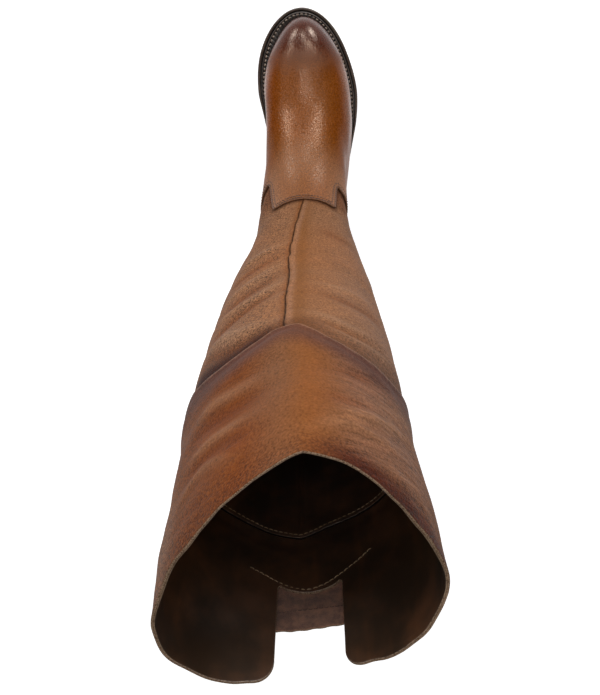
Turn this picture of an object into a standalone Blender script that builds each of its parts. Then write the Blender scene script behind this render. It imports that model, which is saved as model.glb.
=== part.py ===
"""Over-the-knee boot for the right foot, as an assembly of the pieces a bootmaker puts together.

Frame: X towards the toe, Y towards the inner (medial) side of the foot, Z up.
The tables below are in millimetres, with x counted from the back of the outsole and y from the
heel's centre line. The scene's origin is the centre of the heel's flat bottom, on the floor.
"""

import math

import bmesh
import bpy
import numpy as np

# ---------------------------------------------------------------- driving sizes, millimetres
BOOT_LENGTH = 277.6
BALL_HALF_WIDTH = 47.7
HEEL_HALF_WIDTH = 31.5
HEEL_HEIGHT = 28.0
HEEL_BREAST = 60.0
HEEL_CENTRE = 31.0
WALL = 2.2
GAP = 0.3
CURVED_GAP = 0.6

OUTSOLE_THICKNESS = 5.0
OUTSOLE_ROUND = 0.8
WELT_THICKNESS = 3.0
WELT_SETBACK = 1.2
WELT_LAP = 6.0
INSOLE_THICKNESS = 3.0
INSOLE_CLEARANCE = 0.9

TOP_PIECE_THICKNESS = 6.0
LIFT_COUNT = 3
BREAST_HOLLOW = 5.0
HEEL_TAPER = 2.0

THROAT = 119.0
KNEE = 403.0
COLLAR = 523.0
LAP = 8.0
LAP_BLEND = 22.0

NOTCH_HALF_WIDTH = 18.6
NOTCH_BASE = 440.0
NOTCH_TOP = 530.0
NOTCH_CENTRE_Y = -1.2
CUTTER_BACK = -60.0
CUTTER_FRONT = 45.0
FLAP_CORNER = 12.0
FLAP_EDGE = 500.5
TAB_HALF_WIDTH = 35.5
TAB_LOW = 417.0
TAB_HIGH = 486.0
TAB_THICKNESS = 2.0

SHARP_ANGLE = 40.0
RING_POINTS = 48
PLAN_STATIONS = 27
HEEL_STATIONS = 13

# ---------------------------------------------------------------- tables
# Underside of the outsole along the foot: heel seat, waist, flat tread, toe spring.
SOLE_LINE = (
    # x, z
    (0.0, 28.3),
    (61.0, 28.3),
    (84.0, 25.2),
    (108.0, 17.4),
    (132.0, 8.0),
    (150.0, 2.4),
    (164.0, 0.0),
    (206.0, 0.0),
    (232.0, 2.2),
    (256.0, 5.8),
    (278.0, 10.2),
)

# Plan of the outsole before its ends are rounded: the foot's curved centre line, the half widths.
OUTSOLE_PLAN = (
    # x, centre y, half width
    (0.0, 0.0, HEEL_HALF_WIDTH),
    (40.0, 0.0, HEEL_HALF_WIDTH),
    (85.0, -1.4, 31.0),
    (120.0, -2.5, 34.6),
    (150.0, -3.0, 39.8),
    (177.0, -2.1, 45.0),
    (205.0, 0.7, BALL_HALF_WIDTH),
    (240.0, 4.2, BALL_HALF_WIDTH),
    (278.0, 5.6, BALL_HALF_WIDTH),
)
TOE_ROUNDING = (80.0, 1.95)
HEEL_ROUNDING = (32.0, 2.15)

# How far the outsole stands out past the line where the upper meets the welt.
WELT_SHOW = (
    # x, inset
    (0.0, 2.6),
    (90.0, 3.2),
    (140.0, 5.2),
    (200.0, 6.8),
    (278.0, 7.4),
)

# Leather from the welt to the collar. Each level is a closed loop hung between a point on the
# back seam and a point on the front line, and it is named by its height on the front line.
# Nose and tail are the lengths over which the loop closes at each end.
PROFILE = (
    # front z, front x, back x, back z, nose, nose power, inner tail, outer tail, tail power, twist
    (18.3, 270.2, 2.8, 37.3, 76.0, 1.95, 31.0, 31.0, 2.15, 0.0),
    (27.0, 272.6, 1.0, 46.0, 75.0, 1.95, 30.0, 30.0, 2.15, 0.0),
    (41.0, 269.0, 0.2, 54.0, 73.0, 2.0, 30.0, 30.0, 2.1, 0.0),
    (51.5, 256.0, 0.0, 62.0, 70.0, 2.0, 30.0, 30.0, 2.1, 0.0),
    (60.5, 232.0, 1.0, 72.0, 66.0, 2.0, 31.0, 31.0, 2.1, 0.0),
    (70.0, 205.0, 3.0, 83.0, 62.0, 2.0, 32.0, 32.0, 2.0, 0.0),
    (81.5, 180.0, 6.0, 95.0, 58.0, 2.0, 33.0, 33.0, 2.0, 0.0),
    (97.0, 158.0, 9.5, 108.0, 54.0, 2.0, 34.0, 34.0, 2.0, 0.0),
    (114.0, 143.0, 12.0, 122.0, 52.0, 2.0, 35.0, 35.0, 2.0, 0.0),
    (131.0, 134.0, 13.5, 138.0, 54.0, 2.0, 38.0, 38.0, 2.0, 0.0),
    (160.0, 127.0, 13.0, 165.0, 56.0, 2.0, 43.0, 43.0, 2.0, 0.012),
    (205.0, 123.0, 8.0, 208.0, 58.0, 2.0, 49.0, 49.0, 2.05, 0.032),
    (252.0, 124.0, 2.0, 252.0, 61.0, 2.0, 54.0, 54.0, 2.1, 0.053),
    (300.0, 128.5, -3.0, 300.0, 64.0, 1.95, 57.0, 57.0, 2.2, 0.074),
    (350.0, 135.0, -6.0, 350.0, 68.0, 1.9, 58.0, 58.0, 2.3, 0.095),
    (403.0, 143.2, -7.0, 403.0, 82.0, 1.7, 56.0, 56.0, 2.4, 0.11),
    (450.0, 147.0, -8.0, 440.0, 94.0, 1.58, 54.0, 58.0, 2.4, 0.12),
    (490.0, 149.5, -9.0, 472.0, 102.0, 1.5, 53.0, 64.0, 2.35, 0.135),
    (523.0, 150.8, -9.5, 500.0, 107.0, 1.4, 53.0, 76.0, 2.3, 0.148),
)

# The same levels across: half widths at five places along the foot, the share of the sole's
# curved centre line that the loop follows, how far the front fold lies to the inner side, and
# how much further the middle of the loop bows that way.
GIRTH = (
    # front z, heel, waist, instep, tread, ball, centre share, fold y, bow y
    (18.3, 28.8, 28.2, 33.0, 39.4, 40.9, 1.0, 0.0, 0.0),
    (27.0, 30.6, 30.2, 35.4, 41.3, 42.6, 1.0, 0.0, 0.0),
    (41.0, 31.6, 31.4, 36.4, 41.9, 42.8, 1.0, 0.0, 0.0),
    (51.5, 32.0, 32.2, 37.0, 42.0, 42.8, 0.9, 0.2, 1.0),
    (60.5, 31.8, 32.4, 37.2, 41.6, 42.6, 0.8, 0.5, 2.5),
    (70.0, 31.2, 32.6, 36.8, 41.0, 42.0, 0.6, 1.0, 4.5),
    (81.5, 31.4, 34.2, 38.2, 41.0, 42.0, 0.4, 1.6, 5.0),
    (97.0, 32.2, 36.8, 40.2, 41.4, 42.0, 0.2, 2.2, 4.8),
    (114.0, 33.5, 39.5, 42.0, 42.0, 42.0, 0.1, 2.8, 3.4),
    (131.0, 36.5, 44.0, 45.0, 45.0, 45.0, 0.0, 3.2, 2.2),
    (160.0, 44.0, 51.0, 51.0, 51.0, 51.0, 0.0, 3.8, 2.4),
    (205.0, 55.0, 59.8, 59.8, 59.8, 59.8, 0.0, 4.4, 3.1),
    (252.0, 61.0, 63.2, 63.2, 63.2, 63.2, 0.0, 4.8, 3.2),
    (300.0, 64.5, 65.0, 65.0, 65.0, 65.0, 0.0, 5.0, 3.0),
    (350.0, 65.6, 65.6, 65.6, 65.6, 65.6, 0.0, 5.0, 3.0),
    (403.0, 67.1, 67.1, 67.1, 67.1, 67.1, 0.0, 4.5, 3.5),
    (450.0, 69.5, 69.5, 69.5, 69.5, 69.5, 0.0, 2.5, 3.6),
    (490.0, 72.4, 72.4, 72.4, 72.4, 72.4, 0.0, 1.2, 3.6),
    (523.0, 71.9, 71.9, 71.9, 71.9, 71.9, 0.0, 0.8, 3.0),
)
GIRTH_STATIONS = (30.0, 85.0, 140.0, 177.0, 205.0)

# Each piece of leather stands in or out of that surface where it laps its neighbour.
SHAFT_STEP = (
    # front z, offset
    (THROAT, -WALL - GAP),
    (THROAT + LAP, -WALL - GAP),
    (THROAT + LAP + LAP_BLEND, 0.0),
    (KNEE + LAP, 0.0),
)
KNEE_STEP = (
    # front z, offset
    (KNEE, WALL + GAP),
    (KNEE + LAP, WALL + GAP),
    (KNEE + LAP + LAP_BLEND, 0.0),
    (COLLAR, 0.0),
)

# Finishes: name, colour, roughness, metallic.
FINISHES = {
    "vamp_leather": ((0.27, 0.085, 0.022, 1.0), 0.32, 0.0),
    "shaft_leather": ((0.26, 0.105, 0.042, 1.0), 0.5, 0.0),
    "knee_leather": ((0.24, 0.09, 0.034, 1.0), 0.48, 0.0),
    "tab_leather": ((0.2, 0.085, 0.04, 1.0), 0.7, 0.0),
    "sole_leather": ((0.022, 0.014, 0.011, 1.0), 0.5, 0.0),
    "stacked_leather": ((0.035, 0.019, 0.012, 1.0), 0.45, 0.0),
    "rubber": ((0.012, 0.011, 0.011, 1.0), 0.7, 0.0),
    "lining_leather": ((0.07, 0.035, 0.018, 1.0), 0.8, 0.0),
}


# ---------------------------------------------------------------- curves and sections
def smooth(xs, ys, at):
    """Monotone cubic curve through the points (xs, ys), read at the given places."""
    xs, ys = np.asarray(xs, float), np.asarray(ys, float)
    at = np.clip(np.asarray(at, float), xs[0], xs[-1])
    step = np.diff(xs)
    slope = np.diff(ys) / step
    tangent = np.zeros_like(ys)
    tangent[0], tangent[-1] = slope[0], slope[-1]
    for i in range(1, len(xs) - 1):
        if slope[i - 1] * slope[i] > 0:
            near, far = 2 * step[i] + step[i - 1], step[i] + 2 * step[i - 1]
            tangent[i] = (near + far) / (near / slope[i - 1] + far / slope[i])
    span = np.clip(np.searchsorted(xs, at, side="right") - 1, 0, len(xs) - 2)
    t = (at - xs[span]) / step[span]
    return (
        ys[span] * (1 + 2 * t) * (1 - t) ** 2
        + tangent[span] * step[span] * t * (1 - t) ** 2
        + ys[span + 1] * t**2 * (3 - 2 * t)
        - tangent[span + 1] * step[span] * t**2 * (1 - t)
    )


def read(table, column, at):
    """A column of a table read at the given places along its first column."""
    rows = np.array(table)
    return smooth(rows[:, 0], rows[:, column], at)


def closing(distance, length, power):
    """Rounds an end: 0 at the end itself, 1 from the given length onwards."""
    inside = 1 - np.clip(np.asarray(distance, float) / length, 0, 1)
    return (1 - inside**power) ** (1 / power)


def stations(start, end, count):
    """Places along x from start to end, close together at both ends."""
    turn = np.linspace(0, math.pi, count)
    return start + (end - start) * (1 - np.cos(turn)) / 2


def sole_height(x):
    return read(SOLE_LINE, 1, x)


def welt_inset(x, extra):
    """Distance from the outsole's edge to the upper's foot, and further in by the extra."""
    return read(WELT_SHOW, 1, x) + extra


def plan_outline(inset_at, lift):
    """Closed outline of the sole's plan drawn in by inset_at(x), lifted over the outsole's
    underside. It runs from the heel along the inner side to the toe and back."""
    back, front = inset_at(0.0), BOOT_LENGTH - inset_at(BOOT_LENGTH)
    x = stations(back, front, PLAN_STATIONS)
    half = read(OUTSOLE_PLAN, 2, x) - inset_at(x)
    half = half * closing(front - x, *TOE_ROUNDING) * closing(x - back, *HEEL_ROUNDING)
    middle = read(OUTSOLE_PLAN, 1, x)
    z = sole_height(x) + lift
    inner = np.stack([x, middle + half, z], axis=1)
    outer = np.stack([x, middle - half, z], axis=1)
    return np.vstack([inner, outer[-2:0:-1]])


# ---------------------------------------------------------------- leather surface
def leather_loop(height):
    """One closed loop of the leather's outer face, from the back round the inner side."""
    front_x, back_x, back_z, nose, nose_power, inner_tail, outer_tail, tail_power, twist = (
        read(PROFILE, column, height) for column in range(1, 10)
    )
    half_widths = [read(GIRTH, column, height) for column in range(1, 6)]
    centre_share, fold, bow = (read(GIRTH, column, height) for column in range(6, 9))
    x = stations(back_x, front_x, RING_POINTS // 2 + 1)
    along = (x - back_x) / (front_x - back_x)
    half = smooth(GIRTH_STATIONS, half_widths, x)
    half = half * closing(front_x - x, nose, nose_power)
    inner_half = half * closing(x - back_x, inner_tail, tail_power)
    outer_half = half * closing(x - back_x, outer_tail, tail_power)
    middle = centre_share * read(OUTSOLE_PLAN, 1, x) + fold + bow * np.sin(math.pi * along)
    sole = sole_height(x)
    sag = sole - (sole[0] + (sole[-1] - sole[0]) * along)
    low = PROFILE[0][0]
    foot_share = np.clip(1 - (height - low) / (THROAT - low), 0, 1) ** 2
    z = back_z + (height - back_z) * along + sag * foot_share
    inner = np.stack([x - twist * inner_half, middle + inner_half, z], axis=1)
    outer = np.stack([x + twist * outer_half, middle - outer_half, z], axis=1)
    return np.vstack([inner, outer[-2:0:-1]])


def loop_heights(start, end):
    """Levels from start to end: those of the tables and the laps, and one between each two."""
    laps = {THROAT, THROAT + LAP, KNEE, KNEE + LAP}
    marks = sorted({start, end} | laps | {row[0] for row in PROFILE})
    marks = [mark for mark in marks if start <= mark <= end]
    between = [(low + high) / 2 for low, high in zip(marks, marks[1:])]
    return np.sort(np.array(marks + between))


def outward(rings):
    """Unit normals of a grid of loops, pointing out of the leg."""
    around = np.roll(rings, -1, axis=1) - np.roll(rings, 1, axis=1)
    upward = np.gradient(rings, axis=0)
    normal = np.cross(upward, around)
    normal /= np.linalg.norm(normal, axis=2, keepdims=True)
    return normal


def leather_rings(heights, step_table=None):
    """The loops at these levels, stepped outwards as the table says."""
    rings = np.stack([leather_loop(height) for height in heights])
    if step_table is None:
        return rings
    return rings + outward(rings) * read(step_table, 1, heights)[:, None, None]


# ---------------------------------------------------------------- meshes
def place(points):
    """Millimetres from the back of the outsole to metres from the heel's centre."""
    return (np.asarray(points, float) - (HEEL_CENTRE, 0.0, 0.0)) / 1000.0


def add_object(name, vertices, faces, finish, collection, turned=True):
    """A named mesh object with smooth shading, its faces turned outwards unless they already are."""
    mesh = bpy.data.meshes.new(name)
    mesh.from_pydata([tuple(point) for point in place(vertices)], [], faces)
    mesh.materials.append(finish)
    if turned:
        work = bmesh.new()
        work.from_mesh(mesh)
        bmesh.ops.recalc_face_normals(work, faces=work.faces)
        work.to_mesh(mesh)
        work.free()
    mesh.shade_smooth()
    mesh.set_sharp_from_angle(angle=math.radians(SHARP_ANGLE))
    item = bpy.data.objects.new(name, mesh)
    collection.objects.link(item)
    return item


def tube_faces(loops, points, joined_ends=False):
    """Quads between successive closed loops, and from the last to the first for a ring."""
    pairs = [(r, (r + 1) % loops) for r in range(loops if joined_ends else loops - 1)]
    steps = [(i, (i + 1) % points) for i in range(points)]
    return [
        (low * points + i, high * points + i, high * points + j, low * points + j)
        for low, high in pairs
        for i, j in steps
    ]


def ladder_faces(points, first):
    """Quads and end triangles across a closed outline whose two sides mirror each other."""
    half = points // 2
    faces = [(first, first + 1, first + points - 1)]
    faces += [
        (first + i, first + i + 1, first + points - i - 1, first + points - i)
        for i in range(1, half - 1)
    ]
    faces.append((first + half - 1, first + half, first + half + 1))
    return faces


def plate(name, outlines, finish, collection):
    """A solid stacked from outlines of the same number of points, flat across at both ends."""
    points = len(outlines[0])
    faces = tube_faces(len(outlines), points)
    faces += ladder_faces(points, 0) + ladder_faces(points, points * (len(outlines) - 1))
    return add_object(name, np.vstack(outlines), faces, finish, collection)


def add_modifier(item, name, kind, **settings):
    modifier = item.modifiers.new(name, kind)
    for key, value in settings.items():
        setattr(modifier, key, value)
    return modifier


def grow_wall(item, thickness, side):
    """Gives an open surface its thickness, inwards for side -1 and outwards for side 1."""
    add_modifier(
        item,
        "wall",
        "SOLIDIFY",
        thickness=thickness / 1000.0,
        offset=side,
        use_even_offset=True,
        use_quality_normals=True,
        use_rim=True,
    )


def leather_tube(name, rings, finish, collection):
    """An open tube of leather with its wall grown inwards."""
    loops, points, _ = rings.shape
    tube = add_object(name, rings.reshape(-1, 3), tube_faces(loops, points), finish, collection)
    grow_wall(tube, WALL, -1.0)
    return tube


# ---------------------------------------------------------------- pieces of the sole
def make_outsole(finish, collection):
    top = OUTSOLE_THICKNESS
    edges = ((OUTSOLE_ROUND, 0.0), (0.0, OUTSOLE_ROUND), (0.0, top - OUTSOLE_ROUND), (OUTSOLE_ROUND, top))
    outlines = [plan_outline(lambda x, inset=inset: inset + 0 * x, lift) for inset, lift in edges]
    return plate("outsole", outlines, finish, collection)


def make_welt(finish, collection):
    low = OUTSOLE_THICKNESS + CURVED_GAP
    high = low + WELT_THICKNESS
    rim = [plan_outline(lambda x: WELT_SETBACK + 0 * x, lift) for lift in (low, high)]
    lap = [plan_outline(lambda x: welt_inset(x, WELT_LAP), lift) for lift in (high, low)]
    loops = np.vstack(rim + lap)
    faces = tube_faces(4, len(rim[0]), joined_ends=True)
    return add_object("welt", loops, faces, finish, collection)


def make_insole(finish, collection):
    """The board that the foot stands on, its underside keyed inside the welt."""
    base = OUTSOLE_THICKNESS + CURVED_GAP
    shelf = base + WELT_THICKNESS + CURVED_GAP
    rabbet = WELT_LAP + INSOLE_CLEARANCE
    edge = WALL + INSOLE_CLEARANCE
    outlines = [
        plan_outline(lambda x: welt_inset(x, rabbet), base),
        plan_outline(lambda x: welt_inset(x, rabbet), shelf),
        plan_outline(lambda x: welt_inset(x, edge), shelf),
        plan_outline(lambda x: welt_inset(x, edge), shelf + INSOLE_THICKNESS),
    ]
    return plate("insole", outlines, finish, collection)


def heel_outline(inset, z):
    """Closed outline of one heel layer: round back, straight sides, hollow breast."""
    half = HEEL_HALF_WIDTH - inset
    y = half * np.sin(np.linspace(-math.pi / 2, math.pi / 2, HEEL_STATIONS))
    length, power = HEEL_ROUNDING
    share = np.clip(np.abs(y) / half, 0, 1)
    back_x = inset + length * (1 - (1 - share**power) ** (1 / power))
    front_x = HEEL_BREAST - BREAST_HOLLOW * (1 - share**2)
    back = np.stack([back_x, y, np.full_like(y, z)], axis=1)
    front = np.stack([front_x, y, np.full_like(y, z)], axis=1)
    return np.vstack([back, front[::-1]])


def heel_layer(name, low, high, finish, collection):
    def inset(z):
        return WELT_SETBACK + HEEL_TAPER * (1 - z / HEEL_HEIGHT)

    outlines = [heel_outline(inset(z), z) for z in (low, high)]
    points = len(outlines[0])
    caps = [
        (first + i, first + i + 1, first + points - i - 2, first + points - i - 1)
        for first in (0, points)
        for i in range(points // 2 - 1)
    ]
    return add_object(name, np.vstack(outlines), tube_faces(2, points) + caps, finish, collection)


def make_heel(lift_finish, rubber, collection):
    """The rubber top piece on the floor and the leather lifts over it."""
    layers = [heel_layer("heel_top_piece", 0.0, TOP_PIECE_THICKNESS, rubber, collection)]
    stack = HEEL_HEIGHT - TOP_PIECE_THICKNESS
    pitch = stack / LIFT_COUNT
    for number in range(LIFT_COUNT):
        low = TOP_PIECE_THICKNESS + number * pitch + GAP
        name = f"heel_lift_{number + 1}"
        layers.append(heel_layer(name, low, low + pitch - GAP, lift_finish, collection))
    return layers


# ---------------------------------------------------------------- pieces of the leg
def notch_outline():
    """The slit at the back of the collar, seen from behind: (y, z) with rounded flap corners."""
    steps = np.linspace(0, math.pi / 2, 7)
    side = NOTCH_HALF_WIDTH
    corner = FLAP_CORNER
    right = [(side, NOTCH_BASE)]
    right += [
        (side + corner * (1 - math.cos(turn)), FLAP_EDGE - corner + corner * math.sin(turn))
        for turn in steps
    ]
    right.append((side + corner, NOTCH_TOP))
    left = [(-y, z) for y, z in reversed(right)]
    return [(NOTCH_CENTRE_Y + y, z) for y, z in right + left]


def make_notch_cutter(collection):
    outline = notch_outline()
    count = len(outline)
    near = [(CUTTER_BACK, y, z) for y, z in outline]
    far = [(CUTTER_FRONT, y, z) for y, z in outline]
    faces = tube_faces(2, count) + [tuple(range(count)), tuple(range(count, 2 * count))]
    cutter = add_object("notch_cutter", near + far, faces, None, collection)
    cutter.hide_render = True
    cutter.display_type = "WIRE"
    return cutter


def make_leg(upper_finish, shaft_finish, knee_finish, collection):
    """Foot, lower shaft and knee panel: each tube tucks into the next one or laps over it."""
    foot = leather_rings(loop_heights(PROFILE[0][0], THROAT + LAP))
    shaft = leather_rings(loop_heights(THROAT, KNEE + LAP), SHAFT_STEP)
    knee = leather_rings(loop_heights(KNEE, COLLAR), KNEE_STEP)
    leather_tube("upper", foot, upper_finish, collection)
    leather_tube("shaft", shaft, shaft_finish, collection)
    return leather_tube("knee_panel", knee, knee_finish, collection)


def tab_strip(loop, normal):
    """Points across the tab on one loop of the knee panel, with their normals."""
    order = np.arange(-RING_POINTS // 4, RING_POINTS // 4 + 1)
    across = loop[order, 1] - NOTCH_CENTRE_Y
    ends = np.interp((-TAB_HALF_WIDTH, TAB_HALF_WIDTH), across, order)
    within = order[np.abs(across) < TAB_HALF_WIDTH - 2 * GAP]
    places = np.concatenate([ends[:1], within, ends[1:]])
    return tuple(
        np.stack([np.interp(places, order, grid[order, axis]) for axis in range(3)], axis=1)
        for grid in (loop, normal)
    )


def make_back_tab(finish, collection):
    """The reinforcing tab sewn outside the foot of the notch, grown out of the knee panel."""
    heights = loop_heights(KNEE, COLLAR)
    rings = leather_rings(heights, KNEE_STEP)
    strips = np.array([tab_strip(loop, normal) for loop, normal in zip(rings, outward(rings))])
    within = np.arange(len(heights))[(heights > TAB_LOW) & (heights < TAB_HIGH)]
    ends = np.interp((TAB_LOW, TAB_HIGH), heights, np.arange(len(heights)))
    rows = []
    for level in (ends[0], *within, ends[1]):
        low = min(int(level), len(heights) - 2)
        face, normal = strips[low] + (strips[low + 1] - strips[low]) * (level - low)
        rows.append(face + normal * GAP)
    across = len(rows[0])
    faces = [
        (r * across + c, (r + 1) * across + c, (r + 1) * across + c + 1, r * across + c + 1)
        for r in range(len(rows) - 1)
        for c in range(across - 1)
    ]
    tab = add_object("back_tab", np.vstack(rows), faces, finish, collection, turned=False)
    grow_wall(tab, TAB_THICKNESS, 1.0)
    return tab


# ---------------------------------------------------------------- build
def clear_scene():
    for item in list(bpy.data.objects):
        bpy.data.objects.remove(item, do_unlink=True)


def make_finishes():
    """One Principled material for each row of the finishes table."""
    made = {}
    for name, (colour, roughness, metallic) in FINISHES.items():
        finish = bpy.data.materials.new(name)
        finish.use_nodes = True
        shader = finish.node_tree.nodes["Principled BSDF"]
        shader.inputs["Base Color"].default_value = colour
        shader.inputs["Roughness"].default_value = roughness
        shader.inputs["Metallic"].default_value = metallic
        made[name] = finish
    return made


def make_collection(name):
    collection = bpy.data.collections.new(name)
    bpy.context.scene.collection.children.link(collection)
    return collection


def main():
    clear_scene()
    boot = make_collection("over_the_knee_boot")
    helpers = make_collection("cutters")
    finishes = make_finishes()

    make_outsole(finishes["sole_leather"], boot)
    make_welt(finishes["sole_leather"], boot)
    make_insole(finishes["lining_leather"], boot)
    make_heel(finishes["stacked_leather"], finishes["rubber"], boot)
    knee_panel = make_leg(
        finishes["vamp_leather"], finishes["shaft_leather"], finishes["knee_leather"], boot
    )
    add_modifier(
        knee_panel, "notch", "BOOLEAN", operation="DIFFERENCE", object=make_notch_cutter(helpers)
    )
    make_back_tab(finishes["tab_leather"], boot)

    stand = bpy.data.objects.new("boot", None)
    boot.objects.link(stand)
    for item in boot.objects:
        if item is not stand:
            item.parent = stand


if __name__ == "__main__":
    main()
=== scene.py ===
"""Over-the-knee boot for the right foot: finished leather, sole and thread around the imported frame.

Lengths in the tables are millimetres: x is counted from the back of the outsole, y from the
heel's centre line towards the inner side of the foot, and z up from the floor. A place on the
leg is a turn, from 0 at the back round the inner side to 0.5 at the front and 1 at the back
again, and a level, which is the height of its loop on the front line.
"""

import logging
import math
from collections.abc import Callable, Sequence
from dataclasses import dataclass, field
from enum import Enum

import bpy
import numpy as np
from mathutils import Matrix, Vector


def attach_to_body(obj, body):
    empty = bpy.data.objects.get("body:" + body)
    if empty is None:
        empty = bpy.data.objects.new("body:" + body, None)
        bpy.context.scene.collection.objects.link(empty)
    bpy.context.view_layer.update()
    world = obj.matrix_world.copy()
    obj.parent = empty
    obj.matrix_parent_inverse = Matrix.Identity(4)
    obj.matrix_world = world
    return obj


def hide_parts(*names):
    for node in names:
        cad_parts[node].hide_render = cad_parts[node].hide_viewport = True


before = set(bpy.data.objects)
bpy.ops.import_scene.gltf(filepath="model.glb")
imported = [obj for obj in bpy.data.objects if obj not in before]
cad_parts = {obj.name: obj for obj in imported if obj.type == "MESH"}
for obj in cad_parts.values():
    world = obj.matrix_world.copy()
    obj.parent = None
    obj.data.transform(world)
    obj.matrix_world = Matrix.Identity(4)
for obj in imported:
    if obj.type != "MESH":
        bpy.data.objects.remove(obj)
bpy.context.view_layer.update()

LOG = logging.getLogger("boot")
Array = np.ndarray
Colour = tuple[float, float, float]
Object = bpy.types.Object
Material = bpy.types.Material
Node = bpy.types.Node
Socket = bpy.types.NodeSocket

# ------------------------------------------------------------------ driving sizes, millimetres
BOOT_LENGTH = 277.6
HEEL_CENTRE = 31.0
HEEL_HEIGHT = 28.0
HEEL_BREAST = 60.0
HEEL_HALF_WIDTH = 31.5
BALL_HALF_WIDTH = 47.7
OUTSOLE_THICKNESS = 5.0
WELT_THICKNESS = 3.6
WELT_SETBACK = 1.2
FOOT_LEVEL = 18.3
TAB_LEVEL = 129.5
FOLD_STRENGTH = 1.6
COLLAR_LEVEL = 530.0

# Underside of the outsole along the foot: heel seat, waist, flat tread, toe spring.
SOLE_LINE = (
    # x, z
    (0.0, 28.3),
    (61.0, 28.3),
    (84.0, 25.2),
    (108.0, 17.4),
    (132.0, 8.0),
    (150.0, 2.4),
    (164.0, 0.0),
    (206.0, 0.0),
    (232.0, 2.2),
    (256.0, 5.8),
    (278.0, 10.2),
)

# Plan of the outsole before its ends are rounded.
OUTSOLE_PLAN = (
    # x, centre y, half width
    (0.0, 0.0, HEEL_HALF_WIDTH),
    (40.0, 0.0, HEEL_HALF_WIDTH),
    (85.0, -1.4, 31.0),
    (120.0, -2.5, 34.6),
    (150.0, -3.0, 39.8),
    (177.0, -2.1, 45.0),
    (205.0, 0.7, BALL_HALF_WIDTH),
    (240.0, 4.2, BALL_HALF_WIDTH),
    (278.0, 5.6, BALL_HALF_WIDTH),
)
TOE_ROUNDING = (80.0, 1.95)
HEEL_ROUNDING = (32.0, 2.15)

# How far the outsole stands out past the line where the upper meets the welt.
WELT_SHOW = (
    # x, inset
    (0.0, 2.6),
    (90.0, 3.2),
    (140.0, 5.8),
    (177.0, 7.6),
    (205.0, 8.4),
    (250.0, 8.4),
    (278.0, 7.6),
)

# The last and the leg, level by level.
PROFILE = (
    # front z, front x, back x, back z, nose, nose power, inner tail, outer tail, tail power, twist
    (18.3, 269.0, 2.8, 37.3, 76.0, 1.9, 31.0, 31.0, 2.15, 0.0),
    (27.0, 271.4, 1.0, 46.0, 75.0, 1.88, 30.0, 30.0, 2.15, 0.0),
    (41.0, 267.9, 0.2, 54.0, 73.0, 1.92, 30.0, 30.0, 2.1, 0.0),
    (51.5, 256.0, 0.0, 62.0, 70.0, 1.94, 30.0, 30.0, 2.1, 0.0),
    (60.5, 232.0, 1.0, 72.0, 66.0, 2.0, 31.0, 31.0, 2.1, 0.0),
    (70.0, 205.0, 3.0, 83.0, 62.0, 2.0, 32.0, 32.0, 2.0, 0.0),
    (81.5, 180.0, 6.0, 95.0, 58.0, 2.0, 33.0, 33.0, 2.0, 0.0),
    (97.0, 158.0, 9.5, 108.0, 54.0, 2.0, 34.0, 34.0, 2.0, 0.0),
    (114.0, 143.0, 12.0, 122.0, 52.0, 2.0, 35.0, 35.0, 2.0, 0.0),
    (131.0, 134.0, 13.5, 138.0, 54.0, 2.0, 38.0, 38.0, 2.0, 0.0),
    (160.0, 127.0, 13.0, 165.0, 56.0, 2.0, 43.0, 43.0, 2.0, 0.012),
    (205.0, 123.0, 8.0, 208.0, 58.0, 2.0, 49.0, 49.0, 2.05, 0.032),
    (252.0, 124.0, 2.0, 252.0, 61.0, 2.0, 54.0, 54.0, 2.1, 0.053),
    (300.0, 128.5, -3.0, 300.0, 64.0, 1.95, 57.0, 57.0, 2.2, 0.074),
    (350.0, 135.0, -6.0, 350.0, 68.0, 1.9, 58.0, 58.0, 2.3, 0.095),
    (403.0, 143.2, -7.0, 403.0, 82.0, 1.7, 56.0, 56.0, 2.4, 0.11),
    (450.0, 147.0, -8.0, 440.0, 94.0, 1.58, 54.0, 58.0, 2.4, 0.12),
    (490.0, 149.5, -9.0, 472.0, 102.0, 1.5, 53.0, 64.0, 2.35, 0.135),
    (523.0, 150.8, -9.5, 500.0, 107.0, 1.4, 53.0, 76.0, 2.3, 0.148),
    (530.0, 151.1, -9.6, 506.0, 108.0, 1.38, 53.0, 78.5, 2.29, 0.151),
)
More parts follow.
